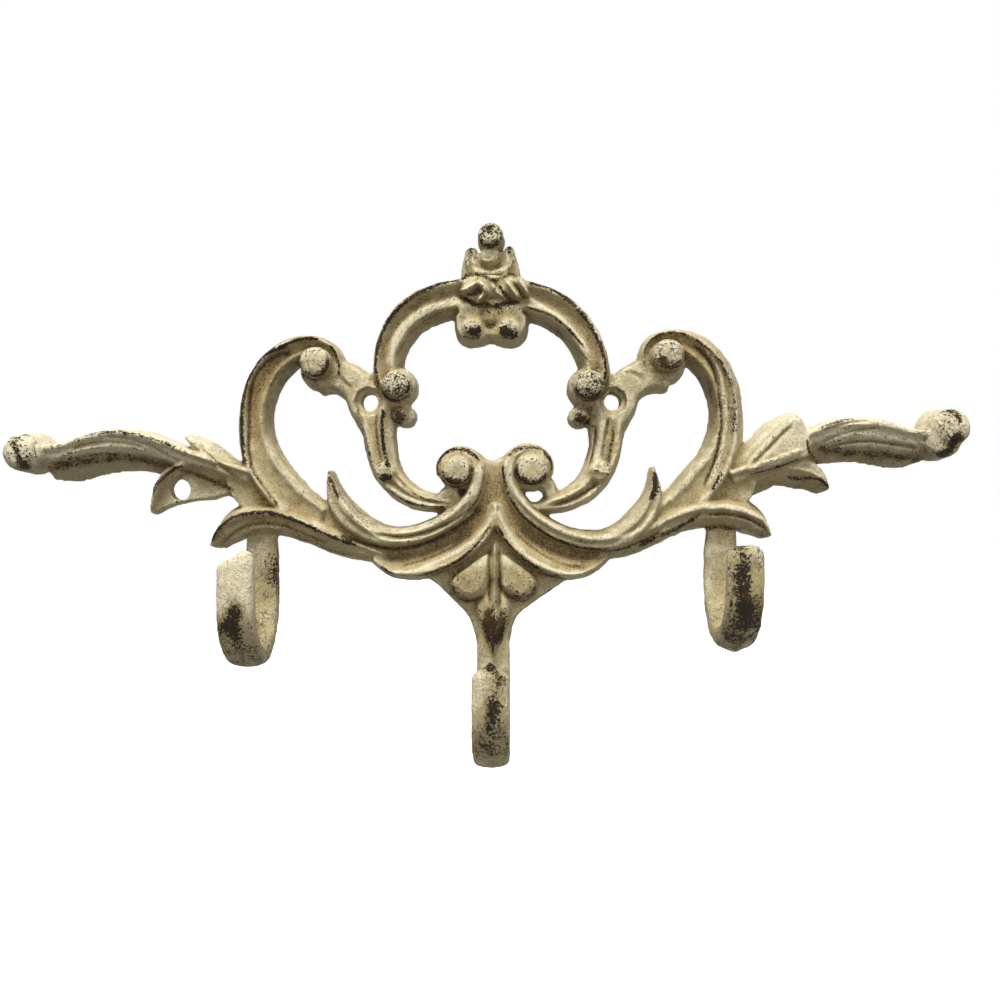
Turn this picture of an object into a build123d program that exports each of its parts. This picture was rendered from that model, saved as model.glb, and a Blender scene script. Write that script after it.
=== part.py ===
from build123d import *
from math import ceil, hypot
import os

# Scrolled wall rack with three coat hooks, cast in one piece.
# X runs to the right along the wall, Z up, and the front faces -Y.
# The flat back lies on the wall plane Y = 0, and the origin is midway between the two screw holes.

# Screw holes, each in a shallow ring
HOLE_SPACING = 81.0
HOLE_R = 2.9
RING_R = 4.6
RING_FLOOR = 7.2

# Hooks, each a strap bent into a J
HOOK_RADIUS = 18.5
STRAP_CORNER = 0.3
STEM_OUT = 5.0

# Every scroll is drawn from a little behind the wall, and its back is then cut flat at the wall
BEHIND = 1.0
# Longest gap between the sections of a scroll and of a hook
SPAN = 6.4
HOOK_SPAN = 6.4
# Flats round a knob and round a small one, and the width of its foot at the wall against its top
KNOB_SIDES = 14
BEAD_SIDES = 10
KNOB_FOOT = 1.12
# Thickness of the plain webs between the members, of those at the roots of the arms, and their draft
WEB = 6.5
ROOT_WEB = 8
WEB_DRAFT = 8
# Tops of the small petals on the finial, of the lobed apron under it and of the plate behind its leaves
CHEVRON_TOP = 16.2
APRON = 11.5
FINIAL_PLATE = 7
# Casting hole in the left arm's lower leaf
LEAF_WEB = 5
LEAF_HOLE = (-104.2, -29.2)
LEAF_HOLE_R = 3.7
LEAF_HOLE_SIDES = 8

# Each profile lists the corners of a scroll's face from one edge to the other,
# as (share of the half width, share of the height).
FLUTED = [(1.0, 0.84), (0.86, 1.0), (0.62, 1.0), (0.34, 0.80), (-0.42, 0.77), (-0.72, 0.92), (-1.0, 0.72)]
DOUBLE = [(1.0, 0.80), (0.85, 0.92), (0.40, 0.95), (0.15, 0.84), (-0.15, 1.0), (-0.55, 1.0), (-1.0, 0.74)]
KEELED = [(1.0, 0.68), (0.30, 0.84), (0.0, 1.0), (-0.30, 0.84), (-1.0, 0.68)]
DOMED = [(1.0, 0.66), (0.6, 0.93), (-0.6, 0.93), (-1.0, 0.66)]
RIMMED = [(1.0, 0.84), (0.80, 1.0), (0.50, 0.98), (0.25, 0.82), (-0.20, 0.86), (-0.45, 0.76), (-1.0, 0.60)]
FLAT = [(1.0, 0.88), (0.75, 1.0), (-0.75, 1.0), (-1.0, 0.88)]
RIBBED = [(1.0, 0.86), (0.80, 1.0), (0.50, 0.80), (0.05, 0.84), (-0.12, 1.0), (-0.34, 1.0), (-1.0, 0.70)]


def flip(profile):
    return [(-side, rise) for side, rise in reversed(profile)]


# A band is a raised scroll along a spline in the wall plane, ruled through sections a few millimetres apart.
# A station is (x, z, half width of the face, height above the wall, share of the flare at the wall),
# and the sections between two stations take values between theirs.
def band(stations, profile, flare_left=2.0, flare_right=2.0):
    stations = [(*s, 1)[:5] for s in stations]
    with BuildLine() as route:
        Spline(*[(x, 0, z) for x, z, *_ in stations])
    gaps = [hypot(x1 - x0, z1 - z0) for (x0, z0, *_), (x1, z1, *_) in zip(stations, stations[1:])]
    samples = []
    for k, gap in enumerate(gaps):
        cuts = ceil(gap / SPAN)
        for cut in range(cuts):
            part = cut / cuts
            sizes = [a + (b - a) * part for a, b in zip(stations[k][2:], stations[k + 1][2:])]
            samples.append(((sum(gaps[:k]) + gap * part) / sum(gaps), *sizes))
    samples.append((1, *stations[-1][2:]))
    with BuildPart() as member:
        for at, half, height, share in samples:
            along = route.line % at
            across = Vector(-along.Z, 0, along.X)
            with BuildSketch(Plane(origin=route.line @ at, x_dir=across, z_dir=along)):
                with BuildLine():
                    face = [(side * half, rise * height) for side, rise in profile]
                    left, right = half + flare_left * share, half + flare_right * share
                    Polyline((left, -BEHIND), *face, (-right, -BEHIND), close=True)
                make_face()
        loft(ruled=True)
        split(bisect_by=Plane.XZ, keep=Keep.TOP)
    return member.part


# A knob is a round boss of flats with a domed top, each tier a (share of the radius, depth below the top).
def knob(x, z, radius, height, dome):
    tiers = [(KNOB_FOOT, height), (1.0, dome), (0.80, dome * 0.34), (0.44, 0.0)]
    with BuildPart() as boss:
        for share, below in tiers:
            with BuildSketch(Plane(origin=(x, below - height, z), x_dir=(1, 0, 0), z_dir=(0, -1, 0))):
                RegularPolygon(radius * share, KNOB_SIDES if radius > 4 else BEAD_SIDES)
        loft(ruled=True)
    return boss.part


# A web is a plain plate between the members, with drafted sides.
def web(outline, thick=WEB):
    with BuildPart() as plate:
        with BuildSketch(Plane.XZ):
            with BuildLine():
                Polyline(*outline, close=True)
            make_face()
        extrude(amount=thick, taper=WEB_DRAFT)
    return plate.part


# A pad is a low cushion on an outline.
# Each tier is a (scale of the outline about its middle, height above the wall).
def pad(outline, tiers):
    x = sum(corner[0] for corner in outline) / len(outline)
    z = sum(corner[1] for corner in outline) / len(outline)
    with BuildPart() as cushion:
        for scale, height in tiers:
            with BuildSketch(Plane(origin=(x, -height, z), x_dir=(1, 0, 0), z_dir=(0, -1, 0))):
                with BuildLine():
                    Polyline(*[((cx - x) * scale, (cz - z) * scale) for cx, cz in outline], close=True)
                make_face()
        loft(ruled=True)
    return cushion.part


# A hook is a strap that drops down the wall, turns out through a half circle and rises to its tip.
# Each station is (share of the way, width, thickness), keel is the ridge along the outside,
# and lean is how far the tip stands to the right of the stem.
def hook(x, top, turn, tip, stations, keel=0.5, lean=0.0):
    with BuildLine(Plane.YZ.offset(x)) as route:
        Line((-STEM_OUT, top), (-STEM_OUT, turn))
        l2 = CenterArc((-STEM_OUT - HOOK_RADIUS, turn), HOOK_RADIUS, 0, -180)
        Line(l2 @ 1, (-STEM_OUT - 2 * HOOK_RADIUS, tip))
    wire = route.wire()
    samples = []
    for (at0, *size0), (at1, *size1) in zip(stations, stations[1:]):
        cuts = ceil((at1 - at0) * wire.length / HOOK_SPAN)
        for cut in range(cuts):
            part = cut / cuts
            samples.append((at0 + (at1 - at0) * part, *[a + (b - a) * part for a, b in zip(size0, size1)]))
    samples.append(stations[-1])
    with BuildPart() as strap:
        for at, width, thick in samples:
            centre = wire @ at
            shift = lean * (-centre.Y - STEM_OUT) / (2 * HOOK_RADIUS)
            w, t, c = width / 2, thick / 2, thick * STRAP_CORNER
            outside = [(-w, c - t), (c - w, -t), (0, -t - keel), (w - c, -t), (w, c - t)]
            inside = [(w, t - c), (w - c, t), (c - w, t), (-w, t - c)]
            with BuildSketch(Plane(origin=centre + (shift, 0, 0), x_dir=(1, 0, 0), z_dir=wire % at)):
                with BuildLine():
                    Polyline(*outside, *inside, close=True)
                make_face()
        loft(ruled=True)
    return strap.part


# Arch over the centre opening, with a knob at each end
arch = band(
    [(-34.5, 5, 3.0, 11), (-34.8, 13, 3.6, 12), (-32.5, 21.5, 4.1, 12), (-27.5, 28.5, 4.6, 12),
     (-20, 33, 4.8, 12), (-10, 35.3, 4.9, 12), (2, 35.6, 4.9, 12), (13, 34.3, 4.9, 12),
     (21, 31.5, 4.8, 12), (28.5, 25.5, 4.5, 12), (33, 18, 4.0, 12), (34.9, 11, 3.6, 12),
     (34.6, 4, 3.0, 11)], FLUTED, 2.0, 2.0)
arch_ends = [knob(-31.6, 4.9, 6.4, 9.5, 2), knob(-30.9, 5.3, 4.7, 14, 3), knob(32.5, 4.9, 6.4, 9.5, 2),
             knob(32.4, 5.2, 4.9, 14, 3)]

# C scrolls, each curled round a knob
scroll_left = band(
    [(-51.4, 8.6, 0.9, 10.5, 0.3), (-51.0, 12.6, 1.2, 11, 0.3), (-52.8, 16.4, 1.5, 11.5, 0.4),
     (-57.6, 18.6, 2.2, 12, 0.6), (-64.5, 17.2, 3.3, 12), (-71.4, 12.8, 4.0, 12), (-76.2, 5.5, 4.3, 12),
     (-78.5, -3, 4.1, 12), (-78.4, -11, 4.5, 12), (-76.2, -19, 5.2, 12), (-71.5, -26.5, 5.6, 12),
     (-65, -33.5, 5.4, 11), (-57, -39, 4.5, 10)],
    flip(FLUTED), 1.0, 3.2)
scroll_right = band(
    [(51.8, 11.6, 0.9, 10.5, 0.3), (51.6, 16.0, 1.2, 11, 0.3), (53.8, 19.4, 1.5, 11.5, 0.4),
     (59.0, 21.0, 2.2, 12, 0.5), (66.5, 18.0, 3.2, 12), (72.8, 12.6, 3.5, 12), (76.8, 5.2, 3.5, 12),
     (78.2, -3, 3.3, 12), (77.8, -11, 3.8, 12), (75.4, -19, 4.6, 12), (70.2, -26.5, 5.4, 12),
     (64.5, -33, 5.2, 11), (57, -38.5, 4.5, 10)],
    FLUTED, 4.4, 1.6)
scroll_knobs = [knob(-57.6, 10.4, 5.8, 9, 2), knob(-57.4, 12.4, 5.0, 15, 2.2),
                knob(58.8, 12.6, 6.0, 9, 2), knob(58.4, 14.9, 5.1, 15, 2.2)]

# Brackets from the C scrolls to the screw holes, and the uprights below them
bracket_left = band([(-58, 8.4, 4.5, 8), (-51, 8.8, 4.6, 9), (-45, 5.2, 4.8, 9), (-41, -2, 5.4, 9),
                     (-39, -9, 4, 7)], FLAT, 1.6, 1.6)
bracket_right = band([(59, 10.0, 5.0, 8), (52, 9.2, 4.8, 9), (45.5, 5.2, 4.9, 9), (42, -2, 5.4, 9),
                      (40, -9, 4, 7)], FLAT, 1.6, 1.6)
upright_left = band(
    [(-37.2, 9.4, 3.6, 8.5), (-37.4, 3, 5.8, 9), (-37.8, -4, 5.8, 9), (-37.4, -10, 4.7, 9),
     (-36.7, -16, 4.2, 9), (-35.0, -22, 3.8, 9.5), (-31.2, -27.6, 3.2, 10), (-25, -31.8, 2.6, 10),
     (-14, -33.6, 1.6, 9)], flip(RIBBED), 1.0, 2.0)
upright_right = band(
    [(37.4, 9.4, 3.6, 8.5), (37.8, 3, 5.8, 9), (38.4, -4, 5.8, 9), (38.5, -10, 4.9, 9),
     (38.0, -16, 4.4, 9), (36.0, -22, 4.2, 9.5), (32.2, -27.6, 3.6, 10), (26, -31.8, 2.8, 10),
     (17, -34.6, 1.6, 9)], RIBBED, 2.0, 1.0)
lobes = [knob(-28.8, -4.6, 3.4, 7, 1), knob(-29.8, -4.6, 2.2, 10, 1.5), knob(29.4, -4.9, 3.4, 7, 1),
         knob(29.8, -5.0, 2.2, 10, 1.5), knob(-34.8, -23.4, 3.4, 11.2, 2),
         knob(36.2, -23.2, 3.6, 11.2, 2)]

# Volutes that run down into the upper leaves
leaf_left = band(
    [(-16.9, -24.5, 0.9, 11, 0.3), (-16.5, -20.1, 1.1, 12, 0.3), (-13.6, -17.2, 1.3, 12, 0.3),
     (-9.6, -16.5, 1.5, 12, 0.4), (-6.2, -18.3, 1.7, 12, 0.4), (-4.4, -21.7, 1.9, 12),
     (-4.3, -26, 2.1, 12), (-6.0, -31, 2.3, 12), (-10.5, -36.4, 2.6, 12), (-18, -41.4, 2.6, 12),
     (-27, -44.6, 2.6, 12), (-36, -44.6, 2.9, 12), (-43.8, -41.0, 3.3, 12), (-49.6, -35.4, 3.0, 12),
     (-52.6, -29, 1.8, 11, 0.7), (-53.8, -22.6, 0.4, 9, 0.2)], DOUBLE, 2.4, 1.0)
leaf_right = band(
    [(19.5, -24.1, 0.9, 11, 0.3), (19.1, -19.4, 1.1, 12, 0.3), (15.9, -16.3, 1.3, 12, 0.3),
     (11.7, -15.6, 1.5, 12, 0.4), (8.1, -17.5, 1.7, 12, 0.4), (6.2, -21.1, 1.9, 12),
     (6.0, -25.6, 2.1, 12), (7.6, -30.4, 2.3, 12), (12, -36.4, 2.6, 12), (19, -42.0, 2.6, 12),
     (28, -45.6, 2.7, 12), (37, -46.4, 3.0, 12), (45.2, -43.4, 3.5, 12), (51.2, -37, 3.3, 12),
     (54.2, -29.6, 2.2, 11, 0.7), (54, -21.4, 0.4, 9, 0.2)], flip(DOUBLE), 1.0, 2.4)
volutes = [knob(-10.8, -22.6, 6.4, 9, 1.5), knob(-11.2, -22.9, 5.0, 13.2, 1.8),
           knob(13.0, -22.4, 6.8, 9, 1.5), knob(13.6, -22.5, 5.3, 13.2, 1.8)]

# Lower leaves that part below the volutes
lower_left = band(
    [(1.3, -33.6, 1.4, 11), (-1.6, -42, 2.4, 11.5), (-8, -48.2, 3.0, 12), (-17, -52.4, 3.5, 12),
     (-26, -54.8, 3.4, 11.5), (-33, -54.4, 2.6, 10.5), (-38.5, -51.5, 1.4, 9)],
    RIMMED, 2.0, 1.5)
lower_right = band(
    [(2.0, -34, 1.4, 11), (4.6, -42, 2.4, 11.5), (10.5, -48.2, 3.0, 12), (18, -52.8, 3.5, 12),
     (26.5, -54.8, 3.4, 11.5), (33, -53.6, 2.6, 10.5), (38, -50.8, 1.4, 9)],
    flip(RIMMED), 1.5, 2.0)

# Leaves that sweep out over the side hooks
cover_left = band(
    [(-36, -51.6, 1.6, 9), (-44, -49.4, 2.8, 10), (-53, -46.2, 3.4, 11), (-61, -42.8, 3.6, 12),
     (-68.5, -40.4, 3.7, 13), (-76.5, -39.6, 3.7, 14), (-83.5, -41.2, 3.4, 14.5),
     (-88.4, -44.6, 2.4, 14.5, 0.8), (-91.0, -48.2, 0.9, 14, 0.4)], flip(RIMMED), 1.4, 4.0)
cover_right = band(
    [(36, -50.6, 1.6, 9), (45, -48.2, 2.8, 10), (54, -44.0, 3.2, 11), (62, -40.0, 3.3, 12),
     (69.5, -37.8, 3.7, 13), (77.5, -37.4, 3.7, 14), (84.5, -39.2, 3.4, 14.5),
     (89.2, -42.2, 2.4, 14.5, 0.8), (91.4, -45.0, 0.9, 14, 0.4)], RIMMED, 4.0, 1.2)

# Palmette of two broad petals round a rib, which widens into the long leaf over the centre hook
PETAL_TIERS = [(1.06, 0.0), (1.0, 8.6), (0.9, 10.2), (0.6, 11.4)]
petal_left = pad([(0.2, -49.6), (-4.4, -52.4), (-9.4, -56.0), (-13.0, -59.2), (-13.4, -62.0), (-10.8, -65.0),
                  (-6.6, -65.8), (-2.4, -64.4), (-0.2, -60.5)], PETAL_TIERS)
petal_right = pad([(2.6, -49.6), (3.0, -60.5), (5.2, -63.6), (8.8, -66.0), (12.6, -65.4), (15.4, -62.4),
                   (15.2, -59.0), (12.0, -56.0), (7.6, -52.8)], PETAL_TIERS)
long_leaf = band(
    [(1.4, -46.5, 0.8, 10), (1.4, -55, 1.3, 12.2), (1.3, -62.5, 1.6, 12.6), (1.0, -66, 5.0, 12.0),
     (0.9, -70, 5.2, 12.4), (0.9, -77, 3.4, 12.2), (0.8, -83.8, 0.4, 11)], KEELED, 0.8, 0.8)

# Side arms with a rolled end, and the leaves at their roots
arm_left = band(
    [(-80, -25.5, 3.2, 12), (-91, -21.8, 2.8, 12), (-100, -19.0, 2.8, 12), (-109, -15.8, 3.2, 12.5),
     (-117, -13.8, 3.8, 13), (-125, -13.6, 4.0, 13), (-133, -15.0, 3.8, 13), (-141, -17.4, 3.4, 13),
     (-149, -18.2, 3.6, 13, 0.7)], flip(RIMMED), 6.4, 0.8)
arm_right = band(
    [(80, -26.0, 3.2, 12), (90, -22.0, 2.8, 12), (98, -17.6, 2.8, 12), (106, -13.0, 3.4, 12.5),
     (114, -10.8, 4.2, 13), (122, -10.2, 4.5, 13), (130, -11.2, 4.4, 13), (138, -13.0, 3.8, 13),
     (146, -13.6, 3.6, 13, 0.5)], RIMMED, 0.8, 6.0)
arm_ends = [knob(-153.2, -17.2, 6.2, 16.5, 5), knob(150.6, -9.2, 6.4, 16.5, 5),
            knob(149.0, -13.4, 5.6, 14.5, 4)]
spurs_left = [
    band([(-84, -24.5, 2.2, 10), (-90, -20.2, 2.4, 11), (-96, -15.6, 2.2, 11),
          (-101.5, -11.6, 0.9, 10, 0.4)],
         KEELED, 1.4, 1.4),
    band([(-99, -19, 2.0, 10), (-105.5, -22.6, 2.2, 10), (-110.4, -28, 1.8, 9.5),
          (-113.4, -35.4, 0.8, 8, 0.5)],
         KEELED, 1.4, 1.4)]
spurs_right = [
    band([(84, -21.5, 2.6, 10), (91, -15.4, 3.4, 11), (96.6, -9.8, 3.4, 11),
          (101.4, -3.8, 0.8, 10, 0.4)], KEELED),
    band([(92, -22.8, 2.4, 10), (100, -22.2, 3.4, 11), (107, -24, 3.2, 11),
          (112.4, -29, 1.0, 9, 0.6)], KEELED, 1.0, 3.0)]

# The right arm comes out from under a broad leaf
FAN_TIERS = [(1.0, 0), (0.98, 11), (0.88, 12.8)]
fan_right = pad([(83, -21.5), (90.4, -13.4), (97.0, -6.0), (100.8, -4.2), (103.2, -6.4), (104.8, -12.4),
                 (106.2, -17.6), (102.6, -19.6), (94, -22.6), (86, -25)], FAN_TIERS)

# Finial over the arch
crest = band([(-9.0, 36.5, 4.6, 14.5), (0.5, 37, 4.4, 15), (10.2, 36.6, 4.4, 14.5)], DOMED, 1.0, 1.0)
chevrons = [(-9.6, 35.4, -4.4, 39.8), (-4.4, 39.8, -0.8, 35.4), (-3.8, 32.2, -1.6, 35.8),
            (5.4, 39.4, 8.8, 33.4), (9.6, 40.2, 12.2, 34.6), (0.4, 39.8, 4.6, 34.6)]
petals = []
for x0, z0, x1, z1 in chevrons:
    petals.append(band([(x0, z0, 0.9, CHEVRON_TOP, 0.1), (x1, z1, 0.7, CHEVRON_TOP, 0.1)], DOMED))
finial_leaves = [
    band([(-4.2, 40, 3.2, 10), (-5.8, 45.6, 2.6, 11), (-6.8, 50.8, 1.7, 10.5, 0.4)], KEELED, 1.2, 1.2),
    band([(4.6, 40, 3.2, 10), (5.8, 45.6, 2.6, 11), (6.2, 51.4, 1.3, 10.5, 0.4)], KEELED, 1.2, 1.2)]
finial_knobs = [knob(0, 54.6, 4.2, 12.5, 3), knob(-0.4, 48.4, 3.2, 10, 2), knob(-6.0, 24.2, 3.3, 13.4, 2),
                knob(6.0, 23.9, 3.5, 13.4, 2)]

# Hooks
BODY = [(0, 9, 5), (0.16, 11, 6), (0.34, 11.4, 6.4), (0.5, 11.4, 6.8), (0.66, 11.4, 6.4), (0.82, 11.4, 6)]
hook_left = hook(-76.6, -38, -63.2, -48.6, BODY + [(0.97, 11.2, 5.4), (1.0, 9.4, 3.6)], lean=1.6)
hook_right = hook(76.8, -36, -57.5, -46.6, BODY + [(0.97, 11.0, 5.4), (1.0, 9.4, 3.6)], keel=1.5)
hook_centre = hook(0.8, -66, -94.8, -80.8, BODY + [(0.962, 11.0, 5.6), (1.0, 5.0, 3.4)])

# Webs at the centre, behind the leaves and at the roots of the side arms
webs = [
    web([(-3.4, -17.8), (0.4, -19.6), (4.6, -17.4), (10, -34), (24, -47), (34, -52), (24.5, -60.5),
         (17.3, -65.4), (11, -69.6), (7.4, -73.4), (6.0, -84), (-4.4, -84), (-6.4, -74.9), (-8.2, -71.0),
         (-14.0, -65.4), (-18, -61.5), (-30, -53), (-22, -46), (-8, -34)]),
    web([(-56, -33), (-62, -46), (-48, -51), (-36, -53.5), (-24, -54), (-24, -46), (-36, -44),
         (-48, -40)]),
    web([(58, -33), (63, -43), (48, -49), (36, -52.5), (24, -54), (24, -47), (37, -45), (50, -40)]),
    web([(-74, -20), (-84, -18), (-90, -26), (-84, -37), (-70, -38)], ROOT_WEB),
    web([(74, -20), (84, -18), (90, -26), (86, -36), (70, -37)], ROOT_WEB),
    web([(-19, -29.4), (-12, -27), (-8, -34), (-16, -36)], ROOT_WEB),
    web([(-99, -19.5), (-107, -24), (-113.2, -30), (-115.2, -36), (-113.8, -38.2), (-111.4, -37),
         (-107.2, -34.8), (-101.5, -33.2), (-93, -32.6), (-87, -30.4), (-82, -26), (-88, -21)], LEAF_WEB),
    web([(-12, 31), (-12.8, 25), (-11.4, 20.8), (-8.8, 18.8), (-3.4, 18.8), (0, 20.6), (3.6, 18.6),
         (8.8, 18.6), (11.6, 21.2), (13, 25), (12, 31)], APRON),
    web([(-10.4, 40), (-10.2, 45), (-9.2, 50.6), (-5.0, 51.0), (-3.2, 49.6), (3.2, 50), (5.6, 52.6),
         (8.2, 50.4), (9.6, 46), (10.8, 40)], FINIAL_PLATE)]

# One casting
with BuildPart() as casting:
    for group in ([arch, crest] + petals, finial_leaves + finial_knobs + arch_ends,
                  [scroll_left, bracket_left, upright_left], [scroll_right, bracket_right, upright_right],
                  scroll_knobs + lobes, [leaf_left, leaf_right] + volutes, [lower_left, lower_right],
                  [cover_left, cover_right], webs, [petal_left, petal_right, long_leaf],
                  [arm_left] + spurs_left, [arm_right, fan_right] + spurs_right, arm_ends,
                  [hook_left, hook_right, hook_centre]):
        add(group)
    with BuildSketch(Plane.XZ.offset(RING_FLOOR)):
        with GridLocations(HOLE_SPACING, 1, 2, 1):
            RegularPolygon(RING_R, KNOB_SIDES)
    extrude(amount=RING_FLOOR, mode=Mode.SUBTRACT)
    with BuildSketch(Plane.XZ):
        with GridLocations(HOLE_SPACING, 1, 2, 1):
            Circle(HOLE_R)
    extrude(amount=2 * RING_FLOOR, mode=Mode.SUBTRACT)
    with BuildSketch(Plane.XZ):
        with Locations(LEAF_HOLE):
            RegularPolygon(LEAF_HOLE_R, LEAF_HOLE_SIDES)
    extrude(amount=2 * LEAF_WEB, mode=Mode.SUBTRACT)

print("solids", len(casting.part.solids()), "faces", len(casting.part.faces()))
print("volume in cubic mm", round(casting.part.volume))
os.makedirs("parts", exist_ok=True)
casting.part.label = "casting"
export_step(casting.part, "parts/casting.step")
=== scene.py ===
# %% [markdown]
# # A cast iron coat rack in worn cream paint
#
# The rack is one casting: a scrolled plate that lies on the wall, with three hooks, two
# side arms and a small leaf finial. The CAD model holds its real sizes and its main
# forms. Here the same casting gets what a foundry and years of use give it: soft
# joints, carved veins, a sandy skin, and thin cream paint worn through to the iron.
#
# The scene is built in the frame of the CAD model, with the wall at y = 0, the front
# towards -y and z up. Lengths are worked out in millimetres and put into Blender in
# metres.

# %% Load the fixed frame
import bpy
import numpy as np
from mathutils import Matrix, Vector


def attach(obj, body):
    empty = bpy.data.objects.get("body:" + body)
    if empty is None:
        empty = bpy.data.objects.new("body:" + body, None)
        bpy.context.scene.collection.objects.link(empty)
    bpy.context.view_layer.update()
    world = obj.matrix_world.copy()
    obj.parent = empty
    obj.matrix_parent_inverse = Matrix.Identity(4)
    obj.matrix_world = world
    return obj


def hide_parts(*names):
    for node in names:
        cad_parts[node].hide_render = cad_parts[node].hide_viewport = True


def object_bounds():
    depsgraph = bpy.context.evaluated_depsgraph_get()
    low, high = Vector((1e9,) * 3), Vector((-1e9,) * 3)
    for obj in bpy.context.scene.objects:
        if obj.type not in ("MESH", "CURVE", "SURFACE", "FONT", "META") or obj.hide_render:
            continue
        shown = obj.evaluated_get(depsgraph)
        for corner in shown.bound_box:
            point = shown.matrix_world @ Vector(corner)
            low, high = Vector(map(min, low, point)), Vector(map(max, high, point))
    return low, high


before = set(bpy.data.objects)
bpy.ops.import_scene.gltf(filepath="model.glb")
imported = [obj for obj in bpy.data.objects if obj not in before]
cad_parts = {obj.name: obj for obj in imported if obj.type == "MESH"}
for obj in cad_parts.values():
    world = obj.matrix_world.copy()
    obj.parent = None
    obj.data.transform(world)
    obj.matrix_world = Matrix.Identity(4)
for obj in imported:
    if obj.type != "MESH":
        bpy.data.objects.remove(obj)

MM = 0.001
cad_low, cad_high = [np.array(corner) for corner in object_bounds()]
print("CAD box in mm:", (cad_low / MM).round(1), (cad_high / MM).round(1))

# %% [markdown]
# ## The camera
#
# The picture was taken from quite near, about a third of a metre away. That shows in
# the hooks: their tips, which stand nearer to the lens, look larger than their stems.
# The camera looks straight at the wall. Its axis meets the picture a little right of
# and below the middle, and a small shift of the lens gives that without turning the
# camera.

# %% Camera
EYE = np.array([9.7, -340.0, -36.0])
lens = bpy.data.cameras.new("camera")
lens.sensor_width = 36.0
lens.lens = 36.0
lens.shift_x = -0.020
lens.shift_y = 0.010
lens.clip_start = 0.01
camera = bpy.data.objects.new("camera", lens)
camera.location = EYE * MM
camera.rotation_euler = (np.pi / 2, 0, 0)
bpy.context.scene.collection.objects.link(camera)
bpy.context.scene.camera = camera
print("camera at", EYE, "mm")

# %% [markdown]
# ## Shader maths as plain expressions
#
# A Blender material is a graph of nodes. Written node by node it is long and hard to
# read, so this small class wraps a socket: `mask * 2 + 1` then adds the Math nodes, and
# `node` adds any other kind of node from its settings and its inputs.

# %% A socket that can be used in sums


class Wire:
    """One output socket of a node tree. Arithmetic on wires adds Math nodes."""

    def __init__(self, tree, socket=None):
        self.tree, self.socket = tree, socket

    def node(self, kind, inputs, output=0, **settings):
        """Adds a node of a kind: its settings first, then the values or links of its inputs."""
        made = self.tree.nodes.new(kind)
        for name, value in settings.items():
            setattr(made, name, value)
        for name, value in inputs.items():
            if isinstance(value, Wire):
                self.tree.links.new(value.socket, made.inputs[name])
            else:
                made.inputs[name].default_value = value
        return Wire(self.tree, made.outputs[output] if made.outputs else None)

    def maths(self, operation, *values):
        return self.node("ShaderNodeMath", dict(enumerate(values)), operation=operation)

    def __add__(self, other):
        return self.maths("ADD", self, other)

    def __sub__(self, other):
        return self.maths("SUBTRACT", self, other)

    def __rsub__(self, other):
        return self.maths("SUBTRACT", other, self)

    def __mul__(self, other):
        return self.maths("MULTIPLY", self, other)

    __radd__, __rmul__ = __add__, __mul__

    def step(self, low, high):
        """0 at low, 1 at high, and a smooth slope between them."""
        return self.node("ShaderNodeMapRange", {"Value": self, "From Min": low, "From Max": high},
                         interpolation_type="SMOOTHSTEP")

    def mix(self, below, above):
        """A mix of two colours: below where this wire is 0, above where it is 1."""
        return self.node("ShaderNodeMix", {0: self, 6: below, 7: above}, output=2, data_type="RGBA")


print("wires ready")

# %% [markdown]
# ## Lamps
#
# The picture has soft light from above: every upper wall is pale and every lower wall
# is in brown shade. A broad square lamp gives a soft edge to the shade, so one hangs
# above the rack, and a weak and broader one fills from the front.

# %% Lamps


def lamp(name, place, aim, size, power, colour):
    """A square lamp at a place, turned towards a point, both in metres."""
    light = bpy.data.lights.new(name, "AREA")
    light.size, light.energy, light.color = size, power, colour
    holder = bpy.data.objects.new(name, light)
    holder.location = place
    way = np.array(aim) - np.array(place)
    flat = np.hypot(way[0], way[1])
    holder.rotation_euler = (np.pi / 2 + np.arctan2(way[2], flat), 0, np.arctan2(-way[0], way[1]))
    bpy.context.scene.collection.objects.link(holder)


lamp("key", (-0.10, -0.45, 0.90), (0, 0, -0.02), 0.40, 15.5, (1.0, 0.98, 0.93))
lamp("fill", (0.25, -1.10, 0.10), (0, 0, -0.02), 0.80, 4.4, (1.0, 0.99, 0.95))
print("lamps:", [light.name for light in bpy.data.lights])

# %% [markdown]
# ## The sky
#
# A room lights an object from all sides, but more from its ceiling than from its floor.
# The sky is therefore bright above and dim below, by the height of the direction. The
# camera alone sees plain white in it, as in the picture, because a Light Path node
# mixes a white ground in for the camera's own rays.

# %% The sky
world = bpy.data.worlds.new("studio")
bpy.context.scene.world = world
world.use_nodes = True
world.node_tree.nodes.clear()
sky = Wire(world.node_tree)
upward = sky.node("ShaderNodeSeparateXYZ", {0: sky.node("ShaderNodeTexCoord", {})}, output=2)
daylight = upward.step(-0.5, 0.7) * 0.52 + 0.055
ambient = sky.node("ShaderNodeBackground", {"Color": (1.0, 0.98, 0.90, 1), "Strength": daylight})
ground = sky.node("ShaderNodeBackground", {"Color": (1, 1, 1, 1), "Strength": 1.0})
seen = sky.node("ShaderNodeLightPath", {})
sky.node("ShaderNodeOutputWorld", {0: sky.node("ShaderNodeMixShader", {0: seen, 1: ambient, 2: ground})})
print("sky:", len(world.node_tree.nodes), "nodes")

# %% [markdown]
# ## The floor
#
# The rack hangs on a wall that isn't shown, so the floor is only a pale disc well below
# it. A plane would do as well, but a disc has no corner to show from the side. It
# shines white to match the ground, and throws no light back on the rack.

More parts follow.
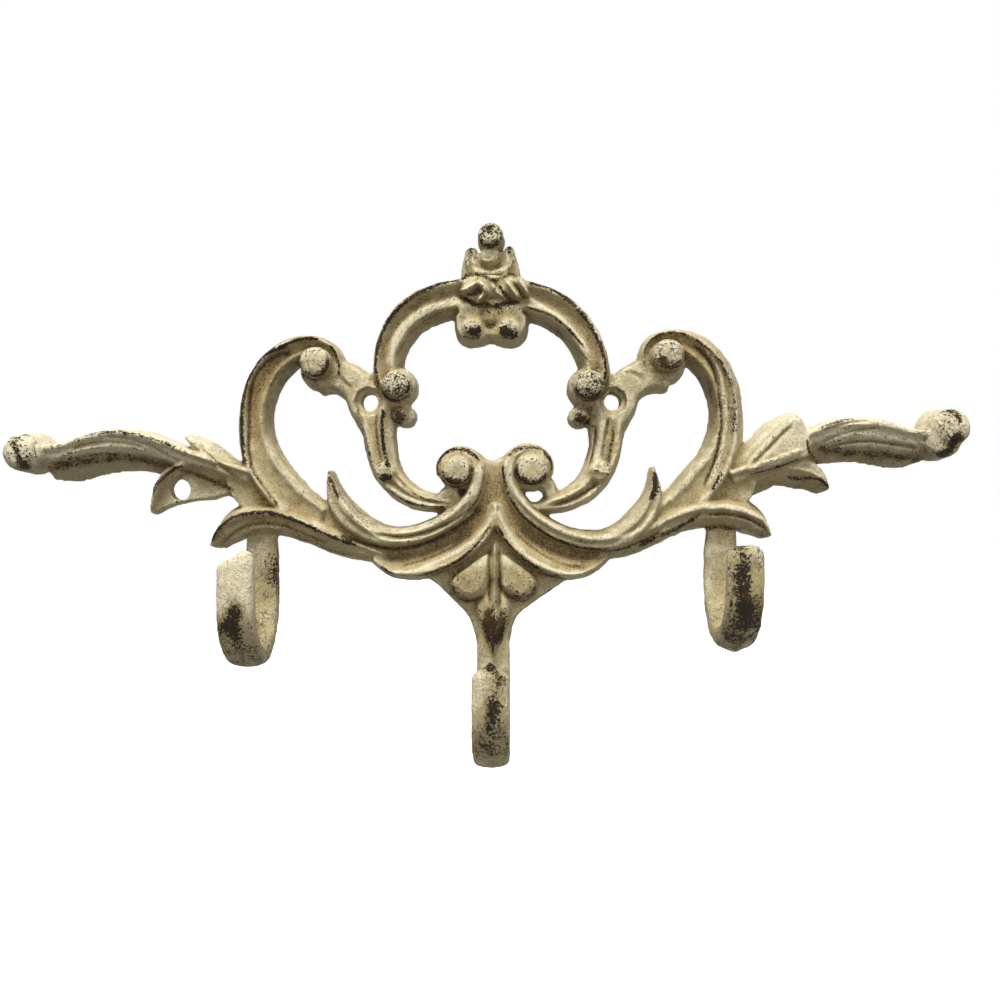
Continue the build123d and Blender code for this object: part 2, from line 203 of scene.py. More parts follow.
# %% The floor
FLOOR_SIDES, FLOOR_RADIUS, FLOOR_HEIGHT = 96, 4, -0.30
turn = np.linspace(0, 2 * np.pi, FLOOR_SIDES, endpoint=False)
rim = np.stack([FLOOR_RADIUS * np.cos(turn), FLOOR_RADIUS * np.sin(turn),
                np.full(FLOOR_SIDES, FLOOR_HEIGHT)], 1)
disc = bpy.data.meshes.new("floor")
disc.from_pydata(rim, [], [range(FLOOR_SIDES)])
floor = bpy.data.objects.new("floor", disc)
bpy.context.scene.collection.objects.link(floor)
pale = bpy.data.materials.new("pale_floor")
pale.use_nodes = True
sockets = pale.node_tree.nodes["Principled BSDF"].inputs
sockets["Base Color"].default_value = (0.93, 0.93, 0.92, 1)
sockets["Roughness"].default_value = 0.9
sockets["Emission Color"].default_value = (1, 1, 1, 1)
sockets["Emission Strength"].default_value = 1.0
floor.data.materials.append(pale)
floor.visible_diffuse = False
bpy.context.scene.view_settings.view_transform = "Standard"
print("floor:", FLOOR_SIDES, "sides,", FLOOR_RADIUS, "m in radius")

# %% [markdown]
# ## Shells
#
# Each member of the casting is first a closed shell of its own, and the shells overlap
# where members cross. A scroll is a profile carried along a curve in the wall plane, a
# knob is a profile turned round an axis, and a pad or a web is an outline raised from
# the wall. All of them are worked out as whole arrays.

# %% Curves


def chaikin(corners, rounds=2, closed=False):
    """Rounds a line by cutting each corner at a quarter of the sides that meet there."""
    line = np.array(corners, float)
    for _ in range(rounds):
        after = np.roll(line, -1, 0) if closed else line[1:]
        before = line if closed else line[:-1]
        cut = np.stack([0.75 * before + 0.25 * after, 0.25 * before + 0.75 * after], 1)
        cut = cut.reshape(-1, line.shape[1])
        line = cut if closed else np.vstack([line[:1], cut, line[-1:]])
    return line


def curve(stations, gap=0.8):
    """A smooth curve through stations. Between two of them it is a cubic whose slope at each
    station is that of the line from the station before to the one after."""
    p = np.array(stations, float)
    length = np.r_[0, np.cumsum(np.hypot(*np.diff(p[:, :2], axis=0).T))]
    slope = np.gradient(p, length, axis=0)
    at = np.linspace(0, length[-1], max(int(length[-1] / gap), 4) + 1)
    k = np.clip(np.searchsorted(length, at, side="right") - 1, 0, len(p) - 2)
    span = (length[k + 1] - length[k])[:, None]
    t = (at - length[k])[:, None] / span
    return ((1 + 2 * t) * (1 - t) ** 2 * p[k] + t * (1 - t) ** 2 * span * slope[k]
            + t * t * (3 - 2 * t) * p[k + 1] + t * t * (t - 1) * span * slope[k + 1])


def loft(rows):
    """Joins closed rows of points, each as long as the next, into a shell with both ends closed."""
    rows = np.asarray(rows, float)
    count, size = rows.shape[:2]
    index = np.arange(count * size).reshape(count, size)
    beside = np.roll(index, -1, 1)
    quads = np.stack([index[:-1], beside[:-1], beside[1:], index[1:]], 2).reshape(-1, 4)
    return rows.reshape(-1, 3), quads.tolist() + [index[0, ::-1].tolist(), index[-1].tolist()]


print("curve through three stations:", len(curve([(0, 0), (5, 5), (10, 0)])), "points")

# %% [markdown]
# A scroll is a rib with a shaped face and walls that lean a little, so that the pattern
# comes out of the sand. A bevelled curve would give a rib of one section. Here the
# width and the height change along the rib, so a profile is carried along the curve and
# scaled at every point of it.

# %% Scrolls
FLARE_FOOT = 1.0


def band(stations, profile, flare_left=2.0, flare_right=2.0):
    """A scroll: at each point of the curve the profile is as wide and as high as the station says,
    and its two walls spread towards the wall plane."""
    line = curve([(*station, 1)[:5] for station in stations])
    way = np.gradient(line[:, :2], axis=0)
    way /= np.hypot(*way.T)[:, None]
    across = np.stack([-way[:, 1], way[:, 0]], 1)
    half, height, share = line[:, 2:3], line[:, 3:4], line[:, 4:5]
    face = chaikin(profile)
    side, rise = face[:, 0] * half, face[:, 1] * height
    left = side[:, :1] + flare_left * share * rise[:, :1] / (rise[:, :1] + FLARE_FOOT)
    right = side[:, -1:] - flare_right * share * rise[:, -1:] / (rise[:, -1:] + FLARE_FOOT)
    side = np.hstack([left, side, right])
    rise = np.hstack([0 * left, rise, 0 * right])
    rows = np.stack([line[:, :1] + side * across[:, :1], -rise, line[:, 1:2] + side * across[:, 1:]], 2)
    return loft(rows)


sample = band([(0, 0, 2, 8), (9, 0, 2, 8)], [(1, 1), (-1, 1)])
print("a straight scroll of 9 mm:", len(sample[0]), "points")

# %% [markdown]
# A knob is a round boss that stands out from the wall. A sphere would be too round for
# it, so a straight wall and a flat dome are turned round an axis, as on a lathe.

# %% Knobs
KNOB_SIDES, FOOT_SPREAD, CAP = 56, 1.12, 0.02


def knob(x, z, radius, height, dome):
    """A round boss: a wall that widens a little towards its foot, and a quarter ellipse over it."""
    over = np.linspace(0, np.pi / 2, 12)[:-1]
    reach = np.r_[FOOT_SPREAD * radius, radius * (0.25 + 0.75 * np.cos(over) ** 0.8), CAP]
    rise = np.r_[0, height - dome + dome * np.sin(over), height]
    turn = np.linspace(0, 2 * np.pi, KNOB_SIDES, endpoint=False)
    rows = [np.stack([x + r * np.cos(turn), np.full(KNOB_SIDES, -h), z + r * np.sin(turn)], 1)
            for r, h in zip(reach, rise)]
    return loft(rows)


print("a knob:", len(knob(0, 0, 5, 12, 2)[0]), "points")

# %% [markdown]
# A petal swells like a cushion, and a web is a flat plate that closes the ground
# between two members. Both start from an outline in the wall plane with its corners cut
# round. A pad's outline shrinks about its middle as it rises, and a web's is drawn in
# once, at the front, by the slope that a pattern needs.

# %% Pads and webs


def pad(outline, tiers):
    """A low cushion on an outline, scaled about its middle at each height."""
    middle = np.mean(outline, 0)
    line = chaikin(outline, 3, closed=True) - middle
    scale, height = np.array(tiers).T
    fine = np.linspace(0, len(scale) - 1, 12)
    scale, height = np.interp(fine, range(len(scale)), scale), np.interp(fine, range(len(height)), height)
    rows = [np.stack([middle[0] + s * line[:, 0], np.full(len(line), -h), middle[1] + s * line[:, 1]], 1)
            for s, h in zip(scale, height)]
    return loft(rows)


def web(outline, thick=6.5):
    """A plain plate on an outline, whose front is drawn in by an eighth of its thickness."""
    line = chaikin(outline, 2, closed=True)
    way = np.roll(line, -1, 0) - np.roll(line, 1, 0)
    inward = np.stack([-way[:, 1], way[:, 0]], 1) / np.hypot(*way.T)[:, None]
    turned = np.sum(line[:, 0] * np.roll(line[:, 1], -1) - line[:, 1] * np.roll(line[:, 0], -1))
    front = line + np.sign(turned) * inward * thick / 8
    rows = [np.stack([edge[:, 0], np.full(len(line), -h), edge[:, 1]], 1)
            for edge, h in ((line, 0), (front, thick))]
    return loft(rows)


print("a square web:", len(web([(0, 0), (9, 0), (9, 9), (0, 9)])[0]), "points")

# %% [markdown]
# A coat hook is a strap bent into a J. A bevelled curve would keep one thickness and
# end square, so the section is worked out at many places along the bend. There it is a
# rounded oblong that thickens in the bowl, with a low ridge outside and a rounded tip.

# %% A strap bent into a J
HOOK_RADIUS, STEM_OUT = 18.5, 5.0
HOOK_STEPS, HOOK_SIDES = 150, 48
TIP_ROUND, TIP_REACH = 1.6, 9


def hook(x, top, turn, tip, stations, keel=0.5, lean=0.0, slant=0.0, peak=0.0):
    """A strap bent into a J: straight down the wall, a half circle out, and straight up to the tip.
    Its section is a rounded oblong with a low ridge along the outside. Slant tilts the end of
    the tip to one side and peak raises its middle."""
    down, bow, up = top - turn, np.pi * HOOK_RADIUS, tip - turn
    at = np.linspace(0, down + bow + up, HOOK_STEPS)
    angle = np.clip((at - down) / HOOK_RADIUS, 0, np.pi)
    y = -STEM_OUT - HOOK_RADIUS * (1 - np.cos(angle))
    z = turn - HOOK_RADIUS * np.sin(angle)
    z = z + np.clip(down - at, 0, None) + np.clip(at - down - bow, 0, None)
    out = np.stack([np.cos(angle), -np.sin(angle)], 1)
    share, width, thick = np.array(stations).T
    width = np.interp(at / at[-1], share, width)
    thick = np.interp(at / at[-1], share, thick)
    end = np.clip((at[-1] - at) / TIP_ROUND, 0, 1)
    shrink = 0.55 + 0.45 * np.sqrt(1 - (1 - end) ** 2)
    t = np.linspace(0, 2 * np.pi, HOOK_SIDES, endpoint=False)
    c, s = np.cos(t), np.sin(t)
    w = np.sign(c) * np.abs(c) ** 0.55
    n = np.sign(s) * np.abs(s) ** 0.6
    near = np.clip((at - at[-1] + TIP_REACH) / TIP_REACH, 0, 1)[:, None] ** 2
    wide = (width * shrink / 2)[:, None] * w
    deep = (thick * shrink / 2)[:, None] * n + keel * np.clip(n, 0, 1) * (1 - np.abs(w)) ** 1.5
    shift = lean * (-y - STEM_OUT) / (2 * HOOK_RADIUS)
    rows = np.stack([x + shift[:, None] + wide, y[:, None] + deep * out[:, :1],
                     z[:, None] + deep * out[:, 1:] + near * (slant * w - peak * np.abs(w))], 2)
    return loft(rows)


strap = hook(0, 20, 0, 10, [(0, 10, 5), (1, 10, 5)])
print("a strap hook:", len(strap[0]), "points")

# %% [markdown]
# ## The members
#
# The stations repeat those of the CAD model, so every member keeps its place and its
# size. A profile lists the corners of a scroll's face from one edge to the other, as a
# share of the half width and a share of the height. The two halves of the rack differ a
# little, as the real pattern's do.

# %% Profiles
FLUTED = [(1.0, 0.84), (0.86, 1.0), (0.62, 1.0), (0.34, 0.80), (-0.42, 0.77), (-0.72, 0.92), (-1.0, 0.72)]
DOUBLE = [(1.0, 0.80), (0.85, 0.92), (0.40, 0.95), (0.15, 0.84), (-0.15, 1.0), (-0.55, 1.0), (-1.0, 0.74)]
KEELED = [(1.0, 0.68), (0.30, 0.84), (0.0, 1.0), (-0.30, 0.84), (-1.0, 0.68)]
DOMED = [(1.0, 0.66), (0.6, 0.93), (-0.6, 0.93), (-1.0, 0.66)]
RIMMED = [(1.0, 0.84), (0.80, 1.0), (0.50, 0.98), (0.25, 0.82), (-0.20, 0.86), (-0.45, 0.76),
          (-1.0, 0.60)]
FLAT = [(1.0, 0.88), (0.75, 1.0), (-0.75, 1.0), (-1.0, 0.88)]
RIBBED = [(1.0, 0.86), (0.80, 1.0), (0.50, 0.80), (0.05, 0.84), (-0.12, 1.0), (-0.34, 1.0), (-1.0, 0.70)]


def flip(profile):
    """The mirror image of a profile, for a member that bends the other way."""
    return [(-side, rise) for side, rise in reversed(profile)]


def tell(name, *shells):
    """Prints how many shells a member has and how many points."""
    print(name + ":", len(shells), "shells,", sum(len(points) for points, _ in shells), "points")


ROOT_WEB, LEAF_WEB, APRON = 8, 5, 11.5
FINIAL_PLATE, CHEVRON_TOP = 7, 16.2
print("profiles:", len([FLUTED, DOUBLE, KEELED, DOMED, RIMMED, FLAT, RIBBED]))

# %% [markdown]
# The arch is the highest scroll and frames the centre opening. It could be half a ring,
# but the real one swells towards its crown and isn't quite round, so stations read from
# the picture carry it. A wide low knob and a narrow high one make each rolled end.

# %% Arch over the centre opening, with a knob at each end
arch = band(
    [(-34.5, 5, 3.0, 11), (-34.8, 13, 3.6, 12), (-32.5, 21.5, 4.1, 12), (-27.5, 28.5, 4.6, 12),
     (-20, 33, 4.8, 12), (-10, 35.3, 4.9, 12), (2, 35.6, 4.9, 12), (13, 34.3, 4.9, 12),
     (21, 31.5, 4.8, 12), (28.5, 25.5, 4.5, 12), (33, 18, 4.0, 12), (34.9, 11, 3.6, 12),
     (34.6, 4, 3.0, 11)], FLUTED, 2.0, 2.0)
arch_ends = [knob(-31.6, 4.9, 6.4, 9.5, 2), knob(-30.9, 5.3, 4.7, 14, 3), knob(32.5, 4.9, 6.4, 9.5, 2),
             knob(32.4, 5.2, 4.9, 14, 3)]
tell("arch", arch, *arch_ends)

# %% [markdown]
# The two C scrolls carry the screw holes' brackets and the side arms. A spiral formula
# would make both alike, and the real ones differ, so each has stations of its own. A
# scroll thins to a lip where it curls round its knob.

# %% C scrolls, each curled round a knob
scroll_left = band(
    [(-51.4, 8.6, 0.9, 10.5, 0.3), (-51.0, 12.6, 1.2, 11, 0.3), (-52.8, 16.4, 1.5, 11.5, 0.4),
     (-57.6, 18.6, 2.2, 12, 0.6), (-64.5, 17.2, 3.3, 12), (-71.4, 12.8, 4.0, 12), (-76.2, 5.5, 4.3, 12),
     (-78.5, -3, 4.1, 12), (-78.4, -11, 4.5, 12), (-76.2, -19, 5.2, 12), (-71.5, -26.5, 5.6, 12),
     (-65, -33.5, 5.4, 11), (-57, -39, 4.5, 10)],
    flip(FLUTED), 1.0, 3.2)
scroll_right = band(
    [(51.8, 11.6, 0.9, 10.5, 0.3), (51.6, 16.0, 1.2, 11, 0.3), (53.8, 19.4, 1.5, 11.5, 0.4),
     (59.0, 21.0, 2.2, 12, 0.5), (66.5, 18.0, 3.2, 12), (72.8, 12.6, 3.5, 12), (76.8, 5.2, 3.5, 12),
     (78.2, -3, 3.3, 12), (77.8, -11, 3.8, 12), (75.4, -19, 4.6, 12), (70.2, -26.5, 5.4, 12),
     (64.5, -33, 5.2, 11), (57, -38.5, 4.5, 10)],
    FLUTED, 4.4, 1.6)
scroll_knobs = [knob(-57.6, 10.4, 5.8, 9, 2), knob(-57.4, 12.4, 5.0, 15, 2.2),
                knob(58.8, 12.6, 6.0, 9, 2), knob(58.4, 14.9, 5.1, 15, 2.2)]
tell("C scrolls", scroll_left, scroll_right, *scroll_knobs)

# %% [markdown]
# The ground for a screw head has to be flat, so the brackets that hold the two holes
# have a flat face. Below each hole an upright with a raised rib runs down and thins
# into the volutes. Small lobes stand beside and below the holes.

# %% Brackets from the C scrolls to the screw holes, and the uprights below them
bracket_left = band([(-58, 8.4, 4.5, 8), (-51, 8.8, 4.6, 9), (-45, 5.2, 4.8, 9), (-41, -2, 5.4, 9),
                     (-39, -9, 4, 7)], FLAT, 1.6, 1.6)
bracket_right = band([(59, 10.0, 5.0, 8), (52, 9.2, 4.8, 9), (45.5, 5.2, 4.9, 9), (42, -2, 5.4, 9),
                      (40, -9, 4, 7)], FLAT, 1.6, 1.6)
upright_left = band(
    [(-37.2, 9.4, 3.6, 8.5), (-37.4, 3, 5.8, 9), (-37.8, -4, 5.8, 9), (-37.4, -10, 4.7, 9),
     (-36.7, -16, 4.2, 9), (-35.0, -22, 3.8, 9.5), (-31.2, -27.6, 3.2, 10), (-25, -31.8, 2.6, 10),
     (-14, -33.6, 1.6, 9)], flip(RIBBED), 1.0, 2.0)
upright_right = band(
    [(37.4, 9.4, 3.6, 8.5), (37.8, 3, 5.8, 9), (38.4, -4, 5.8, 9), (38.5, -10, 4.9, 9),
     (38.0, -16, 4.4, 9), (36.0, -22, 4.2, 9.5), (32.2, -27.6, 3.6, 10), (26, -31.8, 2.8, 10),
     (17, -34.6, 1.6, 9)], RIBBED, 2.0, 1.0)
lobes = [knob(-28.8, -4.6, 3.4, 7, 1), knob(-29.8, -4.6, 2.2, 10, 1.5), knob(29.4, -4.9, 3.4, 7, 1),
         knob(29.8, -5.0, 2.2, 10, 1.5), knob(-34.8, -23.4, 3.4, 11.2, 2),
         knob(36.2, -23.2, 3.6, 11.2, 2)]
tell("brackets and uprights", bracket_left, bracket_right, upright_left, upright_right, *lobes)

# %% [markdown]
# Two volutes stand side by side at the middle. Each is one member with the leaf below
# it: it starts beside the eye, curls over, runs down and out, and ends in an upturned
# point. Made in one sweep, the double ridge along its face runs on without a seam.

# %% Volutes that run down into the upper leaves
leaf_left = band(
    [(-16.9, -24.5, 0.9, 11, 0.3), (-16.5, -20.1, 1.1, 12, 0.3), (-13.6, -17.2, 1.3, 12, 0.3),
     (-9.6, -16.5, 1.5, 12, 0.4), (-6.2, -18.3, 1.7, 12, 0.4), (-4.4, -21.7, 1.9, 12),
     (-4.3, -26, 2.1, 12), (-6.0, -31, 2.3, 12), (-10.5, -36.4, 2.6, 12), (-18, -41.4, 2.6, 12),
     (-27, -44.6, 2.6, 12), (-36, -44.6, 2.9, 12), (-43.8, -41.0, 3.3, 12), (-49.6, -35.4, 3.0, 12),
     (-52.6, -29, 1.8, 11, 0.7), (-53.8, -22.6, 0.4, 9, 0.2)], DOUBLE, 2.4, 1.0)
leaf_right = band(
    [(19.5, -24.1, 0.9, 11, 0.3), (19.1, -19.4, 1.1, 12, 0.3), (15.9, -16.3, 1.3, 12, 0.3),
     (11.7, -15.6, 1.5, 12, 0.4), (8.1, -17.5, 1.7, 12, 0.4), (6.2, -21.1, 1.9, 12),
     (6.0, -25.6, 2.1, 12), (7.6, -30.4, 2.3, 12), (12, -36.4, 2.6, 12), (19, -42.0, 2.6, 12),
     (28, -45.6, 2.7, 12), (37, -46.4, 3.0, 12), (45.2, -43.4, 3.5, 12), (51.2, -37, 3.3, 12),
     (54.2, -29.6, 2.2, 11, 0.7), (54, -21.4, 0.4, 9, 0.2)], flip(DOUBLE), 1.0, 2.4)
volutes = [knob(-10.8, -22.6, 6.4, 9, 1.5), knob(-11.2, -22.9, 5.0, 13.2, 1.8),
           knob(13.0, -22.4, 6.8, 9, 1.5), knob(13.6, -22.5, 5.3, 13.2, 1.8)]
tell("volutes and upper leaves", leaf_left, leaf_right, *volutes)

# %% [markdown]
# Under the volutes a second pair of leaves parts from the middle. They have a rim on
# their lower side, which catches the wear, so their profile has a high shoulder there.

# %% Lower leaves that part below the volutes
lower_left = band(
    [(1.3, -33.6, 1.4, 11), (-1.6, -42, 2.4, 11.5), (-8, -48.2, 3.0, 12), (-17, -52.4, 3.5, 12),
     (-26, -54.8, 3.4, 11.5), (-33, -54.4, 2.6, 10.5), (-38.5, -51.5, 1.4, 9)],
    RIMMED, 2.0, 1.5)
lower_right = band(
    [(2.0, -34, 1.4, 11), (4.6, -42, 2.4, 11.5), (10.5, -48.2, 3.0, 12), (18, -52.8, 3.5, 12),
     (26.5, -54.8, 3.4, 11.5), (33, -53.6, 2.6, 10.5), (38, -50.8, 1.4, 9)],
    flip(RIMMED), 1.5, 2.0)

tell("lower leaves", lower_left, lower_right)

# %% [markdown]
# These leaves hide the stems of the two side hooks. They rise towards their ends, where
# the hooks come out under them, so the height grows along the stations from 9 to 14.5
# mm.

# %% Leaves that sweep out over the side hooks
cover_left = band(
    [(-36, -51.6, 1.6, 9), (-44, -49.4, 2.8, 10), (-53, -46.2, 3.4, 11), (-61, -42.8, 3.6, 12),
     (-68.5, -40.4, 3.7, 13), (-76.5, -39.6, 3.7, 14), (-83.5, -41.2, 3.4, 14.5),
     (-88.4, -44.6, 2.4, 14.5, 0.8), (-91.0, -48.2, 0.9, 14, 0.4)], flip(RIMMED), 1.4, 4.0)
cover_right = band(
    [(36, -50.6, 1.6, 9), (45, -48.2, 2.8, 10), (54, -44.0, 3.2, 11), (62, -40.0, 3.3, 12),
     (69.5, -37.8, 3.7, 13), (77.5, -37.4, 3.7, 14), (84.5, -39.2, 3.4, 14.5),
     (89.2, -42.2, 2.4, 14.5, 0.8), (91.4, -45.0, 0.9, 14, 0.4)], RIMMED, 4.0, 1.2)
tell("leaves over the hooks", cover_left, cover_right)

# %% [markdown]
# The palmette is two broad petals round a rib. The rib widens into a long leaf that
# covers the root of the centre hook. A petal is broad and crowned, which a swept
# profile gives badly, so it is a cushion on its own outline.

# %% Palmette and long leaf
PETAL_TIERS = [(1.06, 0.0), (1.0, 8.6), (0.9, 10.2), (0.6, 11.4)]
petal_left = pad([(0.2, -49.6), (-4.4, -52.4), (-9.4, -56.0), (-13.0, -59.2), (-13.4, -62.0),
                  (-10.8, -65.0), (-6.6, -65.8), (-2.4, -64.4), (-0.2, -60.5)], PETAL_TIERS)
petal_right = pad([(2.6, -49.6), (3.0, -60.5), (5.2, -63.6), (8.8, -66.0), (12.6, -65.4), (15.4, -62.4),
                   (15.2, -59.0), (12.0, -56.0), (7.6, -52.8)], PETAL_TIERS)
long_leaf = band(
    [(1.4, -46.5, 0.8, 10), (1.4, -55, 1.3, 12.2), (1.3, -62.5, 1.6, 12.6), (1.0, -66, 5.0, 12.0),
     (0.9, -70, 5.2, 12.4), (0.9, -77, 3.4, 12.2), (0.8, -83.8, 0.4, 11)], KEELED, 0.8, 0.8)
tell("palmette", petal_left, petal_right, long_leaf)

# %% [markdown]
# The side arms are long leaves that end in a roll, and smaller pointed leaves spring
# from their roots. An arm's lower wall leans out far, so that it shows from the front
# as a second face. That lean is the flare of the profile, larger on one side.

# %% Side arms with a rolled end, and the leaves at their roots
arm_left = band(
    [(-80, -25.5, 3.2, 12), (-91, -21.8, 2.8, 12), (-100, -19.0, 2.8, 12), (-109, -15.8, 3.2, 12.5),
     (-117, -13.8, 3.8, 13), (-125, -13.6, 4.0, 13), (-133, -15.0, 3.8, 13), (-141, -17.4, 3.4, 13),
     (-149, -18.2, 3.6, 13, 0.7)], flip(RIMMED), 6.4, 0.8)
arm_right = band(
    [(80, -26.0, 3.2, 12), (90, -22.0, 2.8, 12), (98, -17.6, 2.8, 12), (106, -13.0, 3.4, 12.5),
     (114, -10.8, 4.2, 13), (122, -10.2, 4.5, 13), (130, -11.2, 4.4, 13), (138, -13.0, 3.8, 13),
     (146, -13.6, 3.6, 13, 0.5)], RIMMED, 0.8, 6.0)
arm_ends = [knob(-153.2, -17.2, 6.2, 16.5, 5), knob(150.6, -9.2, 6.4, 16.5, 5),
            knob(149.0, -13.4, 5.6, 14.5, 4)]
spurs_left = [
    band([(-84, -24.5, 2.2, 10), (-90, -20.2, 2.4, 11), (-96, -15.6, 2.2, 11),
          (-101.5, -11.6, 0.9, 10, 0.4)],
         KEELED, 1.4, 1.4),
    band([(-99, -19, 2.0, 10), (-105.5, -22.6, 2.2, 10), (-110.4, -28, 1.8, 9.5),
          (-113.4, -35.4, 0.8, 8, 0.5)],
         KEELED, 1.4, 1.4)]
spurs_right = [
    band([(84, -21.5, 2.6, 10), (91, -15.4, 3.4, 11), (96.6, -9.8, 3.4, 11),
          (101.4, -3.8, 0.8, 10, 0.4)], KEELED),
    band([(92, -22.8, 2.4, 10), (100, -22.2, 3.4, 11), (107, -24, 3.2, 11),
          (112.4, -29, 1.0, 9, 0.6)], KEELED, 1.0, 3.0)]
tell("side arms", arm_left, arm_right, *arm_ends, *spurs_left, *spurs_right)

# %% [markdown]
# On the right a broad flat leaf lies over the root of the arm, and there is none on the
# left. Its outline has a blunt end and two long sides, so it is a low cushion.

# %% The right arm comes out from under a broad leaf
FAN_TIERS = [(1.0, 0), (0.98, 11), (0.88, 12.8)]
fan_right = pad([(83, -21.5), (90.4, -13.4), (97.0, -6.0), (100.8, -4.2), (103.2, -6.4), (104.8, -12.4),
                 (106.2, -17.6), (102.6, -19.6), (94, -22.6), (86, -25)], FAN_TIERS)
tell("broad leaf", fan_right)

# %% [markdown]
# The finial tops the arch: a domed crest with small petals across it, two pointed
# leaves, a ball, and a pair of drops below. The petals are short ridges, each one a
# scroll with two stations, and a loop makes them all.

# %% Finial over the arch
crest = band([(-9.0, 36.5, 4.6, 14.5), (0.5, 37, 4.4, 15), (10.2, 36.6, 4.4, 14.5)], DOMED, 1.0, 1.0)
chevrons = [(-9.6, 35.4, -4.4, 39.8), (-4.4, 39.8, -0.8, 35.4), (-3.8, 32.2, -1.6, 35.8),
            (5.4, 39.4, 8.8, 33.4), (9.6, 40.2, 12.2, 34.6), (0.4, 39.8, 4.6, 34.6)]
petals = []
for x0, z0, x1, z1 in chevrons:
    petals.append(band([(x0, z0, 0.9, CHEVRON_TOP, 0.1), (x1, z1, 0.7, CHEVRON_TOP, 0.1)], DOMED))
finial_leaves = [
    band([(-4.2, 40, 3.2, 10), (-5.8, 45.6, 2.6, 11), (-6.8, 50.8, 1.7, 10.5, 0.4)], KEELED, 1.2, 1.2),
    band([(4.6, 40, 3.2, 10), (5.8, 45.6, 2.6, 11), (6.2, 51.4, 1.3, 10.5, 0.4)], KEELED, 1.2, 1.2)]
finial_knobs = [knob(0, 54.6, 4.2, 12.5, 3), knob(-0.4, 48.4, 3.2, 10, 2), knob(-6.0, 24.2, 3.3, 13.4, 2),
                knob(6.0, 23.9, 3.5, 13.4, 2)]
tell("finial", crest, *petals, *finial_leaves, *finial_knobs)

# %% [markdown]
# Three straps carry the coats. They share one body, whose width and thickness are given
# at shares of the strap's length, and only their tips differ: the left one is slanted,
# the centre one has a low peak, and the right one is plain with a stronger ridge.

# %% Hooks
BODY = [(0, 9, 5), (0.16, 11, 6), (0.34, 11.4, 6.4), (0.5, 11.4, 6.8), (0.66, 11.4, 6.4),
        (0.82, 11.4, 6)]
hook_left = hook(-76.6, -38, -63.2, -49.6, BODY + [(0.97, 11.2, 5.4), (1.0, 9.4, 3.6)],
                 lean=1.6, slant=1.9)
hook_right = hook(76.8, -36, -57.5, -46.6, BODY + [(0.97, 11.0, 5.4), (1.0, 9.4, 3.6)], keel=1.5)
hook_centre = hook(0.8, -66, -94.8, -80.8, BODY + [(0.962, 11.0, 5.6), (1.0, 7.0, 3.4)], peak=3.0)
tell("hooks", hook_left, hook_right, hook_centre)

# %% [markdown]
# Where members only just touch, a founder joins them with a low web, or the iron
# wouldn't fill the mould. The webs lie behind the scrolls, so that one sees them only
# as the ground between two ridges. One of them, at the left arm, carries a small round
# hole.

# %% Webs at the centre, behind the leaves and at the roots of the side arms
webs = [
    web([(-3.4, -17.8), (0.4, -19.6), (4.6, -17.4), (10, -34), (24, -47), (34, -52), (24.5, -60.5),
         (17.3, -65.4), (11, -69.6), (7.4, -73.4), (6.0, -84), (-4.4, -84), (-6.4, -74.9), (-8.2, -71.0),
         (-14.0, -65.4), (-18, -61.5), (-30, -53), (-22, -46), (-8, -34)]),
    web([(-56, -33), (-62, -46), (-48, -51), (-36, -53.5), (-24, -54), (-24, -46), (-36, -44),
         (-48, -40)]),
    web([(58, -33), (63, -43), (48, -49), (36, -52.5), (24, -54), (24, -47), (37, -45), (50, -40)]),
    web([(-74, -20), (-84, -18), (-90, -26), (-84, -37), (-70, -38)], ROOT_WEB),
    web([(74, -20), (84, -18), (90, -26), (86, -36), (70, -37)], ROOT_WEB),
    web([(-19, -29.4), (-12, -27), (-8, -34), (-16, -36)], ROOT_WEB),
    web([(-99, -19.5), (-107, -24), (-113.2, -30), (-115.2, -36), (-113.8, -38.2), (-111.4, -37),
         (-107.2, -34.8), (-101.5, -33.2), (-93, -32.6), (-87, -30.4), (-82, -26), (-88, -21)], LEAF_WEB),
    web([(-12, 31), (-12.8, 25), (-11.4, 20.8), (-8.8, 18.8), (-3.4, 18.8), (0, 20.6), (3.6, 18.6),
         (8.8, 18.6), (11.6, 21.2), (13, 25), (12, 31)], APRON),
    web([(-10.4, 40), (-10.2, 45), (-9.2, 50.6), (-5.0, 51.0), (-3.2, 49.6), (3.2, 50), (5.6, 52.6),
         (8.2, 50.4), (9.6, 46), (10.8, 40)], FINIAL_PLATE)]
tell("webs", *webs)

# %% [markdown]
# On the real casting iron has also run in between the finial's apron and the arch, and
# beside the right volute, where it leaves one small round gap. These three webs are
# higher than most, because there one sees iron almost as high as the members.

# %% Small joints
joints = [web([(-11, 34), (-11.8, 27), (-7, 24.8), (7, 24.8), (11.8, 27), (11, 34)], 12.2),
          web([(12, -26.8), (15.6, -26.4), (19.8, -24), (22.8, -28.5), (22.5, -34.6), (17.6, -34.6),
               (17.5, -30.2), (15.2, -28.9), (12, -28.7)], 8.6),
          web([(12.4, -33.4), (17.6, -32.6), (22.4, -34.0), (20.6, -37.2), (16.4, -36.8),
               (13.0, -35.8)], 8.8)]
tell("small joints", *joints)

# %% [markdown]
# ## From shells to one casting
#
# The real rack was poured in one go, so nothing on it may look like two parts pushed
# together. Joining the shells with Boolean modifiers is slow, and leaves sharp creases.
# Instead all of them go into one mesh, which is rebuilt from small voxels. That melts
# them into a single closed skin, with points that are evenly spread.

# %% Gather the shells


def shells_of(group):
    """The shells of a member, which may be one shell or a list."""
    return [group] if isinstance(group, tuple) else list(group)


